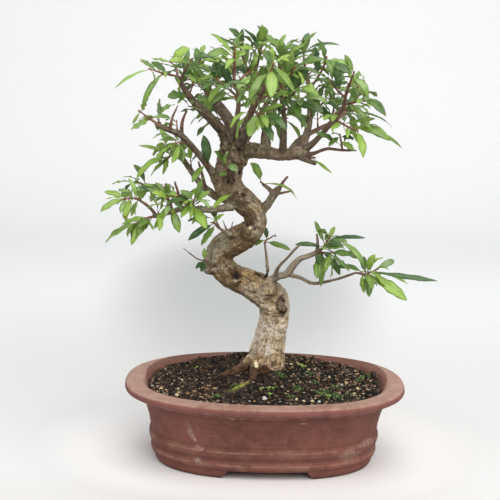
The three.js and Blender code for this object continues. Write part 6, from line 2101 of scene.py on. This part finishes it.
# %% A sweep of paper
sweep = [(y, 0.0) for y in np.linspace(-1.5, 0.9, 9)]
sweep += [(0.9 + 0.5 * math.sin(a), 0.5 - 0.5 * math.cos(a)) for a in np.linspace(0.1, math.pi / 2, 12)]
sweep += [(1.4, z) for z in np.linspace(0.7, 2.4, 5)]
points = [(x, y, z) for y, z in sweep for x in (-2.5, 2.5)]
faces = [(2 * i, 2 * i + 1, 2 * i + 3, 2 * i + 2) for i in range(len(sweep) - 1)]
mesh = bpy.data.meshes.new("backdrop")
mesh.from_pydata(points, [], faces)
mesh.materials.append(paper.material)
mesh.polygons.foreach_set("use_smooth", np.full(len(faces), True))
backdrop = show("backdrop", mesh)
print("backdrop:", len(faces), "faces")

# %% Lights and sky
# Each light: where it hangs and what it aims at, in metres, its length and width, its watts and colour.
LIGHTS = {
    "key": ((0.3, -0.9, 1.4), (0, 0, 0.15), (1.6, 1.1), 18, (1.0, 0.99, 0.97)),
    "front": ((0.4, -1.7, 1.05), (0, 0, 0.15), (1.3, 0.8), 17, (1.0, 0.99, 0.98)),
    "top": ((0.0, 0.05, 1.5), (0, 0, 0), (1.1, 0.9), 7, (0.99, 0.99, 1.0)),
    "side_left": ((-1.2, -0.5, 0.8), (0, 0, 0.2), (0.8, 0.9), 7, (0.97, 0.98, 1.0)),
    "side_right": ((1.2, -0.5, 0.8), (0, 0, 0.2), (0.6, 0.8), 6, (1.0, 0.99, 0.98)),
    "back": ((0.2, 0.7, 1.7), (0, 1.3, 0.6), (1.6, 0.5), 4, (1.0, 1.0, 1.0)),
}
SKY = (0.95, 0.97, 1.0, 1.0)
SKY_STRENGTH = 0.28

for name, (at, aim, size, watts, colour) in LIGHTS.items():
    light = bpy.data.lights.new(name, "AREA")
    light.shape = "RECTANGLE"
    light.size, light.size_y = size
    light.energy = watts
    light.color = colour
    lamp = show(name, light)
    lamp.location = at
    lamp.rotation_euler = (Vector(aim) - Vector(at)).to_track_quat("-Z", "Y").to_euler()
world = bpy.data.worlds.new("studio")
world.use_nodes = True
sky = world.node_tree.nodes["Background"]
sky.inputs["Color"].default_value = SKY
sky.inputs["Strength"].default_value = SKY_STRENGTH
bpy.context.scene.world = world
bpy.context.scene.view_settings.view_transform = "Standard"

# %% [markdown]
# The camera stands a little above the middle of the plant, 0.9 m in front, tilted down by about ten
# degrees and leaning by one, as the photograph's was. A long lens of 93 mm keeps the oval of the rim flat.

# %% The camera
CAMERA_AT = (-0.0141, -0.9138, 0.3186)
CAMERA_LENS = 92.66
TILT = math.radians(10.47)
LEAN = math.radians(1.19)

camera_data = bpy.data.cameras.new("camera")
camera_data.sensor_width = 36
camera_data.lens = CAMERA_LENS
camera = show("camera", camera_data)
camera.matrix_world = (Matrix.Translation(CAMERA_AT) @ Matrix.Rotation(math.pi / 2 - TILT, 4, "X")
                       @ Matrix.Rotation(LEAN, 4, "Z"))
bpy.context.scene.camera = camera
print("camera at", tuple(round(v, 4) for v in camera.location))

# %% [markdown]
# The finished pieces must stay inside the box of the plain solids, apart from a few millimetres.
